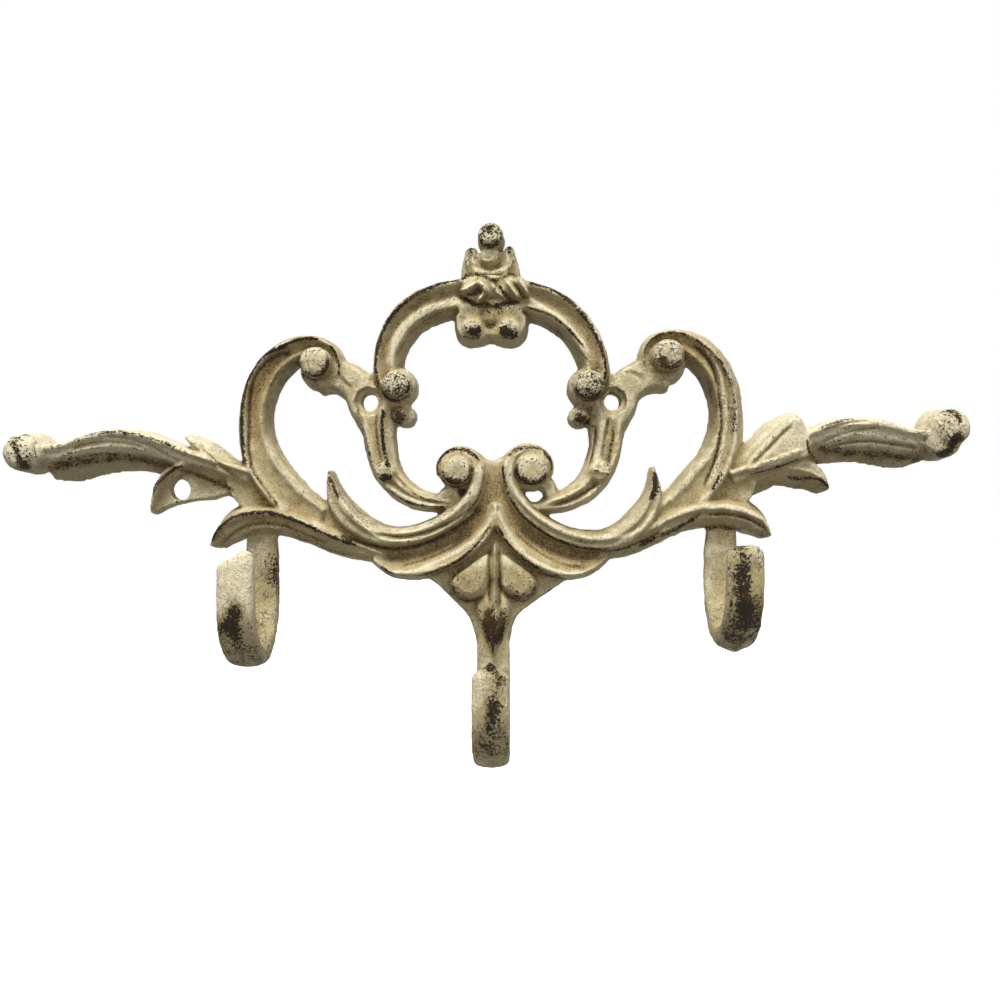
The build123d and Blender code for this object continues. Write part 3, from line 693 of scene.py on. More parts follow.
members = [arch, arch_ends, scroll_left, scroll_right, scroll_knobs, bracket_left, bracket_right,
           upright_left, upright_right, lobes, leaf_left, leaf_right, volutes, lower_left, lower_right,
           cover_left, cover_right, petal_left, petal_right, long_leaf, arm_left, arm_right, arm_ends,
           spurs_left, spurs_right, fan_right, crest, petals, finial_leaves, finial_knobs,
           hook_left, hook_right, hook_centre, webs, joints]
shells = [shell for group in members for shell in shells_of(group)]
print("shells:", len(shells))

# %% [markdown]
# The screw holes, the wider seats for their heads and the small hole in the left arm's
# web are cut with rods. The skin is then rebuilt once more, so that a hole's edge has
# points as even as the rest, and can be softened with it.

# %% Melt the shells together and bore the holes
VOXEL = 0.45
ROD_SIDES = 40
HOLE_OFFSET, HOLE_RADIUS, SEAT_RADIUS, SEAT_FLOOR = 40.5, 2.9, 4.6, -7.2
BEHIND, BEYOND = 5, -30


def rebuild(mesh, size, cutters=()):
    """A skin of even squares round everything in a mesh, after the cutters are taken away."""
    body = bpy.data.objects.new("body", mesh)
    bpy.context.scene.collection.objects.link(body)
    for cutter in cutters:
        cut = body.modifiers.new("cut", "BOOLEAN")
        cut.operation, cut.solver, cut.object = "DIFFERENCE", "FAST", cutter
    voxels = body.modifiers.new("voxels", "REMESH")
    voxels.mode, voxels.voxel_size = "VOXEL", size
    graph = bpy.context.evaluated_depsgraph_get()
    made = bpy.data.meshes.new_from_object(body.evaluated_get(graph), depsgraph=graph)
    bpy.data.objects.remove(body)
    return made


def mesh_of(name, shells):
    """One mesh of several shells, in the units they are given in."""
    points, faces, first = [], [], 0
    for spots, polygons in shells:
        points.append(spots)
        faces += [[first + corner for corner in polygon] for polygon in polygons]
        first += len(spots)
    mesh = bpy.data.meshes.new(name)
    mesh.from_pydata(np.vstack(points), [], faces)
    return mesh


def bore(x, z, radius, near, far):
    """A round rod along y, from near to far, that cuts a hole."""
    turn = np.linspace(0, 2 * np.pi, ROD_SIDES, endpoint=False)
    rows = [np.stack([x + radius * np.cos(turn), np.full(ROD_SIDES, y), z + radius * np.sin(turn)], 1)
            for y in (near, far)]
    rod = bpy.data.objects.new("bore", mesh_of("bore", [loft(rows)]))
    bpy.context.scene.collection.objects.link(rod)
    return rod


bores = []
for side in (-1, 1):
    bores.append(bore(side * HOLE_OFFSET, 0, HOLE_RADIUS, BEHIND, BEYOND))
    bores.append(bore(side * HOLE_OFFSET, 0, SEAT_RADIUS, SEAT_FLOOR, BEYOND))
bores.append(bore(-104.2, -29.2, 3.6, BEHIND, -20))
raw = rebuild(mesh_of("raw", shells), VOXEL)
cast = rebuild(raw, VOXEL, bores)
for rod in bores:
    bpy.data.objects.remove(rod)
print("melted:", len(raw.vertices), "points, then", len(cast.vertices))

# %% [markdown]
# ## Carved lines
#
# The fine relief of the pattern is a set of lines: light ridges, dark grooves, rims
# with their paint rubbed off, and flutes where an old brown stain has settled. Each
# line was read from the picture, on a plane ten millimetres in front of the wall. A
# point of the skin is compared with a line after it is carried along its line of sight
# to that plane, so what a line marks is what the camera sees under it.
#
# A line is (rise, width, worn, stain, points): how far it stands up or sinks in, how
# wide it is, how much paint it has lost, how much stain it holds, and where it runs.

# %% [markdown]
# The arch has worn rims, a pale ridge inside them and a brown flute along its inner
# side. The finial's petals stand up as short ridges with deep grooves between them,
# which is too fine for the voxels, so these lines rise the most.

# %% Lines of the arch and the finial
ARCH_LINES = [
    (0, 1, 1, 0, [(-37.2, 4), (-38.2, 9), (-38.4, 13.9), (-37, 19.7), (-34.8, 25), (-31.2, 29.7),
     (-25.6, 34.7), (-19.8, 37.7), (-13.5, 39.8), (-9.8, 40.1)]),
    (0.4, 0.8, 0, -0.6, [(-33.5, 12), (-32.5, 18), (-31.2, 21.8), (-28.5, 25.5), (-24, 29.2),
     (-18.7, 31.6), (-13.5, 32.9), (-10.8, 34)]),
    (-0.3, 0.5, 0.7, 0.9, [(-31.2, 14.6), (-27.2, 21.3), (-22.9, 25.5), (-17.7, 28.7), (-13.5, 30),
     (-10.3, 29.9)]),
    (0, 1, 0.95, 0, [(11.5, 40.1), (14.9, 38.6), (19.2, 37.7), (22.3, 35.8), (26, 33.1),
     (29.6, 29.4), (32.6, 25.3), (35.3, 20.2), (37.4, 15.5), (38.3, 10.3), (37.8, 4.5)]),
    (0.4, 0.8, 0, -0.6, [(12.8, 34), (16, 31.6), (19.7, 29.6), (23.4, 27), (27, 23.3),
     (30.4, 19.1), (32.4, 15.6)]),
    (-0.35, 0.45, 1, 0.6, [(11.5, 30.8), (16, 29.6), (20.2, 28), (24, 25), (27.6, 21.6),
     (31, 17.2)]),
    (-0.25, 0.5, 0.5, 0.9, [(10.7, 29.4), (16, 27), (20.7, 24.4), (25, 20.8), (29.7, 15.8),
     (32.6, 12.4)]),
    (0, 0.6, 0.7, 0.8, [(-35.4, 3), (-34, 0.6), (-31, 0), (-27.5, 1.4), (-26.2, 5)]),
    (0, 0.6, 0.7, 0.8, [(36.8, 4), (35.4, 1.2), (32, 0), (28.6, 1.6), (27.6, 5)]),
    (0, 1.6, 0.8, 0, [(-31.5, 3.5), (-29.5, 3.8)]),
    (0, 1.6, 0.4, 0, [(31, 3.5), (34, 4)]),
]
FINIAL_LINES = [
    (1.05, 0.7, 0, -0.5, [(-9.6, 35.8), (-7, 37.5), (-4.2, 39.3), (-2.4, 37.8), (-0.8, 35.4)]),
    (0.9, 0.6, 0, -0.5, [(-4.2, 32.6), (-3, 34.4), (-1.7, 35.8)]),
    (0.9, 0.6, 0, -0.5, [(0.4, 39), (1.6, 36.2), (4.4, 33.6)]),
    (1.05, 0.6, 0, -0.5, [(5.2, 39.2), (7, 37), (8.8, 34)]),
    (0.9, 0.6, 0, -0.5, [(9.4, 40), (10.8, 37.8), (12, 35.2)]),
    (-0.9, 0.6, 0.9, 0.6, [(-8.4, 35.2), (-5.6, 35), (-4.2, 37), (-3, 35.2)]),
    (-0.75, 0.6, 0.8, 0.6, [(2.4, 38.6), (3.6, 36.4), (6.2, 33.4)]),
    (-0.75, 0.6, 0.8, 0.6, [(7.4, 39), (9.2, 36.6), (10.6, 33.8)]),
    (0.45, 0.8, 0.8, 0.4, [(-10, 39.6), (-8.4, 41.2), (-6, 41.9), (-2, 41.2), (0.1, 39.9),
     (2.8, 39.7), (4.8, 41), (6.5, 42.3), (9.2, 40.2)]),
    (0.9, 0.9, 0, -0.5, [(-6, 43.2), (-2.8, 42.7), (0.4, 42.3), (3, 42.6), (4.9, 43.6)]),
    (-0.45, 0.7, 0.9, 0.8, [(-10.6, 34.6), (-7.2, 33), (-4.5, 31.4), (-1.4, 32), (0.7, 30.6),
     (3.4, 31.8), (5.9, 32.4), (9.4, 32.6)]),
    (0.52, 0.6, 0.5, 0, [(-8.4, 47.6), (-8, 45.6), (-7.2, 43.9)]),
    (0.52, 0.6, 0.5, 0, [(7.6, 47.6), (7.4, 45.8), (5.4, 43.2)]),
    (0, 0.8, 1, 0, [(-8.4, 50.6), (-6.8, 50.6), (-5.2, 50.8), (-4.2, 48.8)]),
    (0, 0.8, 0.9, 0, [(2.8, 50.2), (4.2, 51.6), (5.6, 51.6), (7.2, 50.2)]),
    (0.52, 0.5, 0, 0.3, [(-3.2, 46.5), (-1.2, 46), (0.6, 46.4)]),
    (0, 1.4, 0.9, 0, [(-2.8, 56.4), (-0.6, 56.8), (1.6, 56.6)]),
    (-0.25, 0.6, 0.7, 0.7, [(-4.4, 51.6), (-1.8, 50.6), (1, 50.6), (3, 51.4)]),
    (0, 1.5, 0.95, 0.3, [(-7.6, 23.2), (-5.4, 22.4), (-3.4, 23.8)]),
    (0, 1.5, 0.95, 0.3, [(3.2, 24.2), (5, 22.4), (7.4, 22.6)]),
    (-0.6, 0.9, 0.7, 0.8, [(-1.6, 25.6), (0, 24.2), (1.6, 25.6)]),
    (0, 1.8, 0, 0.9, [(-8, 29), (-4, 28.6), (0, 28.8), (4, 28.6), (8, 29.2)]),
]
print("arch and finial:", len(ARCH_LINES) + len(FINIAL_LINES), "lines")

# %% [markdown]
# The outer rim of a C scroll is rubbed down to brown iron, and the broad flute inside
# it holds an old stain. The two sides don't match: the right one has one more pale
# ridge. The uprights have a rib with a dark groove on each side.

# %% Lines of the C scrolls and the uprights
SCROLL_LINES = [
    (0.2, 0.9, 1, 0.2, [(-56, 20.6), (-59.7, 20.9), (-63.5, 20.4), (-66.4, 18.9), (-69.8, 17.2),
     (-73.4, 16.3), (-75.9, 14.6), (-78, 11.8), (-80.1, 7.2), (-81.3, 3.1), (-82, -1.9),
     (-82.3, -7), (-82, -12), (-81.9, -17), (-81.2, -21.3)]),
    (-0.4, 0.6, 0.8, 1, [(-66, 15.2), (-70.1, 15.6), (-74.4, 12.4), (-77.3, 9.3), (-79, 4.6),
     (-79.6, -1), (-79.6, -8.6), (-80, -15), (-79.2, -20.4), (-77.7, -24.6), (-74.8, -28.4),
     (-72.3, -31.8), (-70.2, -34.7)]),
    (0, 2.6, 0, 1, [(-64, 14), (-69, 12.6), (-73, 9.6), (-75.4, 5), (-76.6, -1), (-76.8, -8),
     (-76.2, -13)]),
    (-0.2, 0.6, 0.5, 0.9, [(-69, 10.5), (-71.6, 6.6), (-73, 1), (-74, -5.8), (-73.8, -11.8)]),
    (0, 1.5, 0.6, 0, [(-54.2, 13.8), (-53.4, 11.6), (-55, 8.6), (-58, 7.2), (-61, 8.6)]),
    (0, 0.7, 0.9, 0.4, [(-53.5, 18.9), (-51, 16), (-49.9, 12.4), (-50.1, 8.4)]),
    (-0.3, 0.5, 0.4, 0.7, [(-49.9, 8.4), (-47.5, 5.6), (-45.2, 3.6)]),
    (0, 0.8, 0.7, 0.2, [(50.5, 12.8), (50.1, 14.5), (50.6, 17.1), (52, 19.4), (54.4, 21.3),
     (57.3, 22.2), (60.3, 22.5), (64.9, 21.7), (68.4, 19.7), (71.3, 17.2), (74.7, 14.2),
     (77.1, 10.3), (79.1, 5.5), (80.3, 0.4), (80.5, -4.6), (80.1, -9.7), (79.1, -14.7),
     (77.6, -19.8), (75.6, -24.3), (72.6, -29.9)]),
    (0.45, 0.6, 0.3, -0.4, [(70.8, 17), (74.3, 12.2), (76.4, 6.5), (77, 1.4), (77.9, -5.7),
     (77.3, -11.7), (76.2, -16.8), (74.6, -21.8), (71.8, -27.4)]),
    (-0.45, 0.5, 1, 0.6, [(67, 18.2), (69.4, 16.5), (72.8, 12), (74.8, 6.5), (75.4, 1.4),
     (76.4, -5.7), (75.8, -11.7), (74.8, -16.8), (73.2, -21.8), (70.4, -27.9)]),
    (0, 2.2, 0, 1, [(63, 17), (68.4, 13.6), (72, 8.4), (73.4, 2), (74, -5), (73.4, -11)]),
    (0, 1.3, 0.8, 0, [(57, 14.6), (57, 12.6), (58.6, 11.6)]),
    (-0.25, 0.5, 0.5, 0.6, [(50.6, 7.2), (47.2, 9.4), (44, 9.4)]),
]
UPRIGHT_LINES = [
    (0.35, 0.9, 1, 0.3, [(-35.3, -2.7), (-35.8, -7.4), (-35.6, -12.9), (-34.6, -18.5),
     (-33.6, -22.1)]),
    (-0.3, 0.5, 0.4, 0.7, [(-37.4, -3.4), (-37.8, -9), (-37.2, -14), (-36.2, -19)]),
    (0, 0.6, 0.5, 0.4, [(-44.3, 1.1), (-43.4, -4.4), (-42.4, -8.9), (-41, -14), (-39.6, -19.2),
     (-38.6, -22.5)]),
    (-0.35, 0.5, 0.7, 0.7, [(-32.2, -24.2), (-29.4, -26.6), (-26.2, -30), (-22.6, -32.4),
     (-17.6, -33.4)]),
    (0.4, 0.6, 0, -0.5, [(-34, -27.6), (-31.5, -29.8), (-27.8, -31.8), (-23.3, -33.7),
     (-18, -34.4)]),
    (0, 0.6, 0.8, 0.5, [(-37, -27), (-34.8, -29), (-31.5, -31.4), (-26.3, -34), (-20, -35.4),
     (-14.5, -34.9)]),
    (0, 1.6, 0.8, 0.2, [(-36.2, -24.8), (-33, -25.4)]),
    (0, 1.4, 0.9, 0, [(-30.8, -4.2), (-29.4, -5.6), (-31.2, -7.6)]),
    (0.45, 0.7, 0, -0.6, [(36.6, -7), (36.4, -13), (35.2, -18), (34.2, -21.6)]),
    (-0.4, 0.5, 1, 0.5, [(34.8, -8), (34.5, -13.6), (33.7, -16.9), (32.6, -21.4)]),
    (-0.4, 0.5, 0.9, 0.5, [(38.9, -5.6), (38.3, -9.2), (37.6, -13), (36.6, -18.4)]),
    (0, 0.8, 0.9, 0.3, [(40.6, -8), (40.4, -12), (39.6, -17), (39, -21)]),
    (0.35, 0.6, 0.3, 0, [(33, -22.5), (36.4, -23.2), (40, -24.5)]),
    (0.4, 0.6, 0, -0.5, [(31.8, -27.8), (25.2, -31.5), (18.9, -33.3)]),
    (-0.35, 0.5, 0.7, 0.5, [(35.6, -27.2), (31.6, -30), (26.4, -32.6), (21, -34.4)]),
    (0.4, 0.6, 0, -0.5, [(39.6, -25.8), (37.4, -28.7), (33.7, -31.6), (28.9, -34), (23.7, -35.2)]),
    (0, 1.2, 0.8, 0, [(29, -4.4), (30.4, -6.2), (33, -8), (34.6, -9.4)]),
]
print("C scrolls and uprights:", len(SCROLL_LINES) + len(UPRIGHT_LINES), "lines")

# %% [markdown]
# Each leaf has a pale vein beside a dark groove, and a worn lower rim. Wide soft lines
# with no rise only stain the ground between the leaves.

# %% Lines of the volutes, the leaves and the palmette
LEAF_LINES = [
    (0, 0.8, 0.9, 0.5, [(-17.6, -25.6), (-18, -22), (-16.6, -18.6), (-14, -16.4), (-10, -15.8),
     (-6.2, -17), (-3.4, -20.2)]),
    (-0.35, 0.6, 0.8, 0.7, [(-16.6, -24.6), (-14.2, -27.6), (-11.4, -28.6), (-8, -27.6),
     (-6.2, -24.4), (-6.4, -21.4)]),
    (0, 1, 1, 0, [(-14.8, -25.4), (-12.4, -27), (-10.4, -27.2)]),
    (0, 0.8, 0.7, 0.5, [(20.2, -24), (20, -19.6), (17.4, -16.4), (13, -15), (8.8, -15.8),
     (5.4, -18.4)]),
    (-0.35, 0.6, 0.8, 0.7, [(18.8, -24.6), (16.6, -27), (13.2, -27.8), (10, -26.4), (8.4, -23.6),
     (8.6, -20.6)]),
    (0, 0.9, 0.9, 0, [(9.2, -25), (10.6, -26.4), (12.6, -27.2)]),
    (0.3, 0.8, 0, -0.7, [(-3.7, -22.4), (-3.6, -26.3), (-5.4, -31), (-10.6, -36.6), (-17.4, -40.6),
     (-24, -43), (-31, -43.6)]),
    (-0.4, 0.45, 0.8, 0.7, [(-2, -24), (-2.4, -28.6), (-5.4, -34.6), (-10.6, -38.6),
     (-17.3, -41.9), (-23.8, -44), (-29.9, -44.9), (-36.5, -44)]),
    (0.4, 0.6, 0, -0.6, [(-5.6, -36.8), (-10.2, -40.3), (-16.3, -43.4), (-23.3, -45.7),
     (-29.9, -46.4), (-36.5, -45.6), (-40.6, -42.9), (-45.2, -38.6), (-48.2, -34.7),
     (-50.3, -30.4), (-52.1, -27)]),
    (-0.2, 0.7, 0.9, 0.9, [(-3.6, -35), (-6.8, -38.9), (-12.2, -42.6), (-19.8, -46.4),
     (-26.4, -48.4), (-31.4, -48.9), (-36.8, -48.2), (-41.5, -47.4), (-45, -45.8),
     (-50.6, -44.4)]),
    (0, 1.4, 0.9, 0.2, [(-53.2, -24.6), (-51.4, -28.6), (-49.6, -32)]),
    (0.35, 0.8, 0, -0.7, [(6.4, -22), (5.9, -25.2), (7.2, -30), (10.9, -34.4), (16.4, -38.9),
     (22.3, -42.4), (29.2, -45), (36.1, -46), (45.7, -44.8), (51.1, -41.8), (54.8, -36.2)]),
    (-0.2, 0.6, 1, 0.8, [(3.6, -20.6), (4.4, -26.3), (6.6, -32.3), (10, -37.9), (16.1, -42.7),
     (22.1, -46.2), (29.2, -48.6), (39.7, -49.6), (45.9, -48.2), (52, -45.2), (56.2, -43.3)]),
    (-0.3, 0.5, 0.4, 0.6, [(12, -33.6), (18, -38.2), (25, -41.6), (32, -43.4), (40, -43.2)]),
    (0.35, 1.3, 1, 0.2, [(53.8, -22.6), (54.6, -28.4), (52.9, -33.3)]),
    (0.4, 0.8, 0, -0.6, [(1.4, -35.6), (0.4, -38.6), (-1.6, -41.9), (-4.6, -45.6), (-8.6, -48.5),
     (-13.6, -51.4), (-19.6, -54), (-26.6, -56.6), (-32, -56.6)]),
    (-0.3, 0.5, 0.4, 0.7, [(-6, -43.6), (-10.4, -47), (-16, -50.2), (-22.6, -52.8), (-29, -54.4)]),
    (-0.15, 0.6, 1, 0.7, [(0.6, -40.4), (-1.9, -43.6), (-5.8, -48.9), (-11.5, -53.4),
     (-17.5, -56.4), (-24.3, -58.4), (-28.9, -58.9), (-33.4, -57.1), (-36.5, -54.6)]),
    (0.4, 0.8, 0, -0.6, [(2.4, -36.4), (4.2, -40.2), (6.3, -44.8), (10.2, -49.3), (15.3, -53.3),
     (20.8, -56.2), (26.3, -57.6), (31, -57.2)]),
    (-0.15, 0.6, 1, 0.7, [(2, -40.4), (5.1, -46.5), (9.6, -51.6), (14.8, -55.2), (20.4, -57.8),
     (27.5, -59.1), (32.2, -58.3), (35.6, -55.8)]),
    (-0.3, 0.5, 0.4, 0.7, [(8, -43.6), (12.4, -47.6), (18, -51.4), (24.6, -54.2), (31, -55.2)]),
    (0, 3, 0, 0.8, [(-6, -42), (-14, -47.4), (-24, -51.2), (-34, -52.4)]),
    (0, 3, 0, 0.7, [(9, -42), (17, -47.4), (27, -51.4), (37, -52.4)]),
    (0, 2.4, 0, 0.7, [(0.9, -24), (1, -30), (-1.6, -35)]),
    (0, 2.4, 0, 0.7, [(1.4, -40), (1.4, -45)]),
    (-0.5, 0.6, 0.6, 0.9, [(-0.4, -49), (-0.6, -54), (-0.6, -60), (-0.3, -67)]),
    (-0.5, 0.6, 0.6, 0.9, [(2.6, -49.6), (3.2, -55), (3.2, -61), (3, -68)]),
    (0.4, 1, 0, 0.2, [(1.3, -48), (1.4, -55), (1.3, -62), (1.4, -68)]),
    (-0.2, 0.8, 0.7, 0.9, [(-12.6, -60.6), (-12, -63.4), (-9.4, -65.4), (-6.2, -66),
     (-2.6, -64.6)]),
    (-0.2, 0.8, 0.6, 0.9, [(14.8, -60.6), (14.4, -63.6), (11.6, -65.6), (8.6, -65.8),
     (5.2, -63.2)]),
    (0, 2.4, 0.85, 0.7, [(-1.8, -68), (-0.6, -75), (0.6, -80.6)]),
    (0, 5, 0.3, 1.1, [(-8.5, -54.5), (-7.5, -64.5)]),
    (0, 5, 0.3, 0.9, [(10.5, -54), (9.8, -64.5)]),
    (0, 1.4, 0.8, 0.6, [(4.2, -70), (3.8, -75), (2.2, -80.6)]),
    (0.5, 0.5, 0, -0.8, [(1.8, -69), (1.9, -72), (1.6, -75)]),
    (-0.5, 0.5, 0.9, 0.4, [(3.4, -69), (3.6, -74), (2.4, -79)]),
    (-0.45, 0.5, 0.9, 0.4, [(0.2, -69), (0, -74), (0.4, -80)]),
]
print("volutes, leaves and palmette:", len(LEAF_LINES), "lines")

# %% [markdown]
# The leaves over the hooks are worn to the iron along their whole upper rim, because
# coats are lifted off across it.

# %% Lines of the leaves over the side hooks
COVER_LINES = [
    (0.2, 0.9, 1, 0.2, [(-92.3, -46.6), (-91.6, -44), (-88.7, -40.6), (-85.4, -38.2),
     (-81.6, -37.1), (-76, -36.6), (-71.7, -36.9), (-68.2, -38.2), (-63, -40.1), (-58.7, -42.3),
     (-55.3, -44), (-50, -46), (-44, -47.6)]),
    (-0.45, 0.5, 0.6, 0.8, [(-89.8, -48.1), (-86.8, -45.3), (-83.3, -42.3), (-79.4, -40.7),
     (-74.3, -40.2), (-69.5, -40.8), (-62, -43.6), (-54, -47)]),
    (0.35, 0.5, 0, -0.4, [(-88.6, -48.8), (-85.8, -46.3), (-82.4, -43.6), (-78.6, -42.1),
     (-74, -41.6), (-69.3, -42.2)]),
    (0, 1.6, 0.5, 0.6, [(-66, -44.4), (-58, -48), (-50, -50.4), (-44, -51.6)]),
    (0, 2, 0, 0.7, [(-71.5, -36.5), (-75.5, -33.5), (-79, -29)]),
    (0.4, 0.6, 0, -0.6, [(70.9, -36.2), (76.4, -35.6), (82.5, -36.6), (90, -39.2)]),
    (-0.35, 0.5, 1, 0.5, [(71.1, -37.5), (79.4, -37.4), (85.6, -39), (91.1, -42.5)]),
    (-0.4, 0.5, 0.5, 0.5, [(72.6, -34), (77, -33.4), (82, -33.8), (88.6, -36.4)]),
    (0, 0.8, 1, 0.4, [(48, -48), (54, -45.6), (59.9, -43.1), (64.8, -40.3), (67.9, -37.9),
     (70.3, -36.6)]),
    (0, 1, 0.7, 0.5, [(58, -46.2), (66, -43.2), (74, -41.4), (82, -42.4), (89, -46)]),
]
print("leaves over the hooks:", len(COVER_LINES), "lines")

# %% [markdown]
# Grooves part the arms into long folds, and the leaves at the roots have a midrib each.
# The very wide lines at the end carry only a little wear, which breaks up the paint
# there.

# %% Lines of the side arms
ARM_LINES = [
    (-0.5, 0.7, 0.6, 0.6, [(-150.3, -11), (-151.9, -15.5), (-150.3, -19.9), (-147.5, -23.7)]),
    (-0.5, 0.6, 0.5, 0.7, [(-139, -15.6), (-133.1, -13.9), (-127.6, -13.3), (-121, -13.7),
     (-115.2, -15.2)]),
    (-0.45, 0.5, 0.4, 0.6, [(-128, -11.6), (-121.6, -12), (-113.3, -14.6), (-108, -17.4)]),
    (0.3, 0.6, 0, -0.5, [(-146, -19.4), (-140, -17), (-133, -15.4), (-126, -15), (-119, -15.4),
     (-112, -17.2), (-104, -20.4)]),
    (0, 0.8, 0.8, 0.7, [(-146, -21.2), (-139, -19), (-132, -17.6), (-124, -17.4), (-116, -18.4),
     (-109, -20.4), (-100, -23.4), (-91, -27), (-84, -30)]),
    (-0.5, 0.6, 0.5, 0.7, [(-97.4, -14), (-93, -18.1), (-88.6, -21.9), (-84.6, -25.4)]),
    (0.25, 0.8, 1, 0.4, [(-101.5, -21.6), (-104.5, -21.9), (-107.8, -24.1), (-111.1, -27.4),
     (-112.8, -30.9), (-114.2, -34.1)]),
    (0, 0.6, 0.5, 0, [(-157.6, -12.6), (-153.5, -10.6), (-146.4, -11.4), (-141.5, -14.6)]),
    (-0.4, 0.6, 0.4, 0.5, [(150.8, -2.8), (151.3, -9), (150.6, -14.9)]),
    (-0.55, 0.6, 0.5, 0.5, [(110.6, -9.6), (113, -8.7), (120.2, -6.7), (126, -6.6)]),
    (-0.55, 0.6, 0.5, 0.5, [(110, -13.4), (113, -12.2), (120.2, -9.6), (128.5, -8.8)]),
    (-0.55, 0.6, 0.7, 0.6, [(112.4, -15.4), (116.3, -14), (125.1, -13), (133.4, -14.2),
     (141, -15.4)]),
    (0, 1, 0.7, 0.2, [(109, -8.4), (114, -6.4), (121, -5.4)]),
    (-0.6, 0.6, 0.6, 0.4, [(86.4, -21.2), (89.8, -18), (94.6, -13), (99.6, -8.2)]),
    (0.5, 0.7, 0, -0.5, [(85.4, -22.9), (90.2, -20.8), (94.8, -19.2), (99, -17.6),
     (103.6, -15.9)]),
    (-0.5, 0.6, 0.9, 0.6, [(86.5, -24.1), (93.7, -22.4), (99, -20.2), (103.2, -18.8)]),
    (0.3, 0.8, 1, 0.2, [(104.8, -12), (105.4, -16.2), (108.2, -19.8), (111, -22.9),
     (113.2, -26.4)]),
    (0, 0.9, 1, 0.6, [(97.6, -25), (101.6, -25.4), (105.8, -25.4), (109.6, -25.9),
     (112.6, -28.6)]),
    (0, 1.7, 0.95, 1, [(108, -15.5), (116, -17), (125, -17.2), (135, -18.4), (145, -19.6),
     (152, -16.5), (156, -10)]),
    (0, 1.2, 0.8, 0.4, [(156, -8), (155, -4), (151, -2.2), (146.5, -3.4)]),
    (0, 2, 0.3, 0.9, [(101, -26.5), (107, -28), (112, -31.5)]),
    (0, 1.6, 0.9, 0.9, [(-147, -22.5), (-139, -20.6), (-131, -19.2), (-123, -18.6), (-115, -19.6),
     (-107, -22)]),
    (0, 1.2, 0.9, 0.3, [(-158, -14), (-156.5, -20), (-152.5, -23.4), (-147.5, -23.4)]),
    (0, 1, 0.6, 0.5, [(-136, -11), (-128, -10), (-120, -10.4), (-112, -12.4), (-104, -15.4)]),
    (0, 6.5, 0.3, 0, [(-146, -17), (-135, -15), (-120, -14), (-105, -17), (-94, -20)]),
    (0, 6.5, 0.3, 0, [(108, -13), (120, -11), (135, -13), (146, -12)]),
    (0, 5, 0.25, 0, [(88, -24), (94, -18), (101, -11)]),
]
print("side arms:", len(ARM_LINES), "lines")

# %% [markdown]
# The effect of a line dies away with the distance from it, as a bell curve of the
# line's width, and fades over the last millimetres at each end. The arms' lines are
# read at 8 mm in front of the wall and all others at 10 mm. The tips of the hooks take
# no lines.

# %% Read the lines
LINES_AT, ARMS_AT, KNOBS_AT = 10.0, 8.0, 13.0
HOOKS_START = -19.0


def seen_at(points, depth=LINES_AT):
    """Where the lines of sight through points cross the plane at a depth in front of the wall."""
    scale = (-EYE[1] - depth) / (points[:, 1] - EYE[1])
    return EYE[[0, 2]] + (points[:, [0, 2]] - EYE[[0, 2]]) * scale[:, None]


def along(place, line):
    """The distance of places from a line, and how far along it the nearest point is."""
    start, way = line[:-1], np.diff(line, axis=0)
    length = np.maximum(np.hypot(*way.T), 1e-6)
    offset = place[:, None] - start[None]
    share = np.clip(np.sum(offset * way, 2) / length ** 2, 0, 1)
    gap = np.hypot(*np.moveaxis(offset - share[..., None] * way, 2, 0))
    best = gap.argmin(1)
    row = np.arange(len(place))
    first = np.r_[0, np.cumsum(length)[:-1]]
    return gap[row, best], (first + share * length)[row, best], length.sum()


def line_fields(points, groups):
    """Rise, wear and stain of the lines at each point."""
    fields = np.zeros((3, len(points)))
    for lines, depth in groups:
        place = seen_at(points, depth)
        for rise, width, worn, stain, corners in lines:
            line = chaikin(corners, 2)
            near = np.all((place > line.min(0) - 3 * width) & (place < line.max(0) + 3 * width), 1)
            near &= points[:, 1] > HOOKS_START
            gap, reach, length = along(place[near], line)
            fade = np.clip(np.minimum(reach, length - reach) / 2 + 0.35, 0, 1)
            bell = np.exp(-(gap / width) ** 2) * fade
            fields[0, near] += rise * bell
            fields[1, near] = np.maximum(fields[1, near], worn * bell)
            fields[2, near] += stain * bell
    return fields


PLATE_LINES = ARCH_LINES + FINIAL_LINES + SCROLL_LINES + UPRIGHT_LINES + LEAF_LINES + COVER_LINES
GROUPS = [(PLATE_LINES, LINES_AT), (ARM_LINES, ARMS_AT)]
print("lines:", sum(len(lines) for lines, _ in GROUPS))

# %% [markdown]
# ## Soften the skin
#
# Molten iron rounds every edge and fills every crease a little. Smoothing alone would
# shrink the casting, so every point moves towards the mean of its neighbours and then a
# little further back, which takes off the edges and keeps the volume. After that only
# the hollow places are filled.

# %% Soften


def read(mesh):
    """Points, edges and point normals of a mesh as arrays."""
    points, edges = np.empty(len(mesh.vertices) * 3), np.empty(len(mesh.edges) * 2, np.int32)
    facing = np.empty(len(mesh.vertices) * 3)
    mesh.vertices.foreach_get("co", points)
    mesh.edges.foreach_get("vertices", edges)
    mesh.vertex_normals.foreach_get("vector", facing)
    return points.reshape(-1, 3), edges.reshape(-1, 2), facing.reshape(-1, 3)


def write(mesh, points):
    """Gives a mesh new points."""
    mesh.vertices.foreach_set("co", points.ravel())
    mesh.update()


def mean_of_neighbours(values, edges):
    """For each point, the mean of a value over the points that an edge joins it to."""
    a, b = edges.T
    size = len(values)
    count = np.maximum(np.bincount(a, minlength=size) + np.bincount(b, minlength=size), 1)
    columns = values.reshape(size, -1).T
    total = [np.bincount(a, c[b], size) + np.bincount(b, c[a], size) for c in columns]
    return (np.stack(total, 1) / count[:, None]).reshape(values.shape)


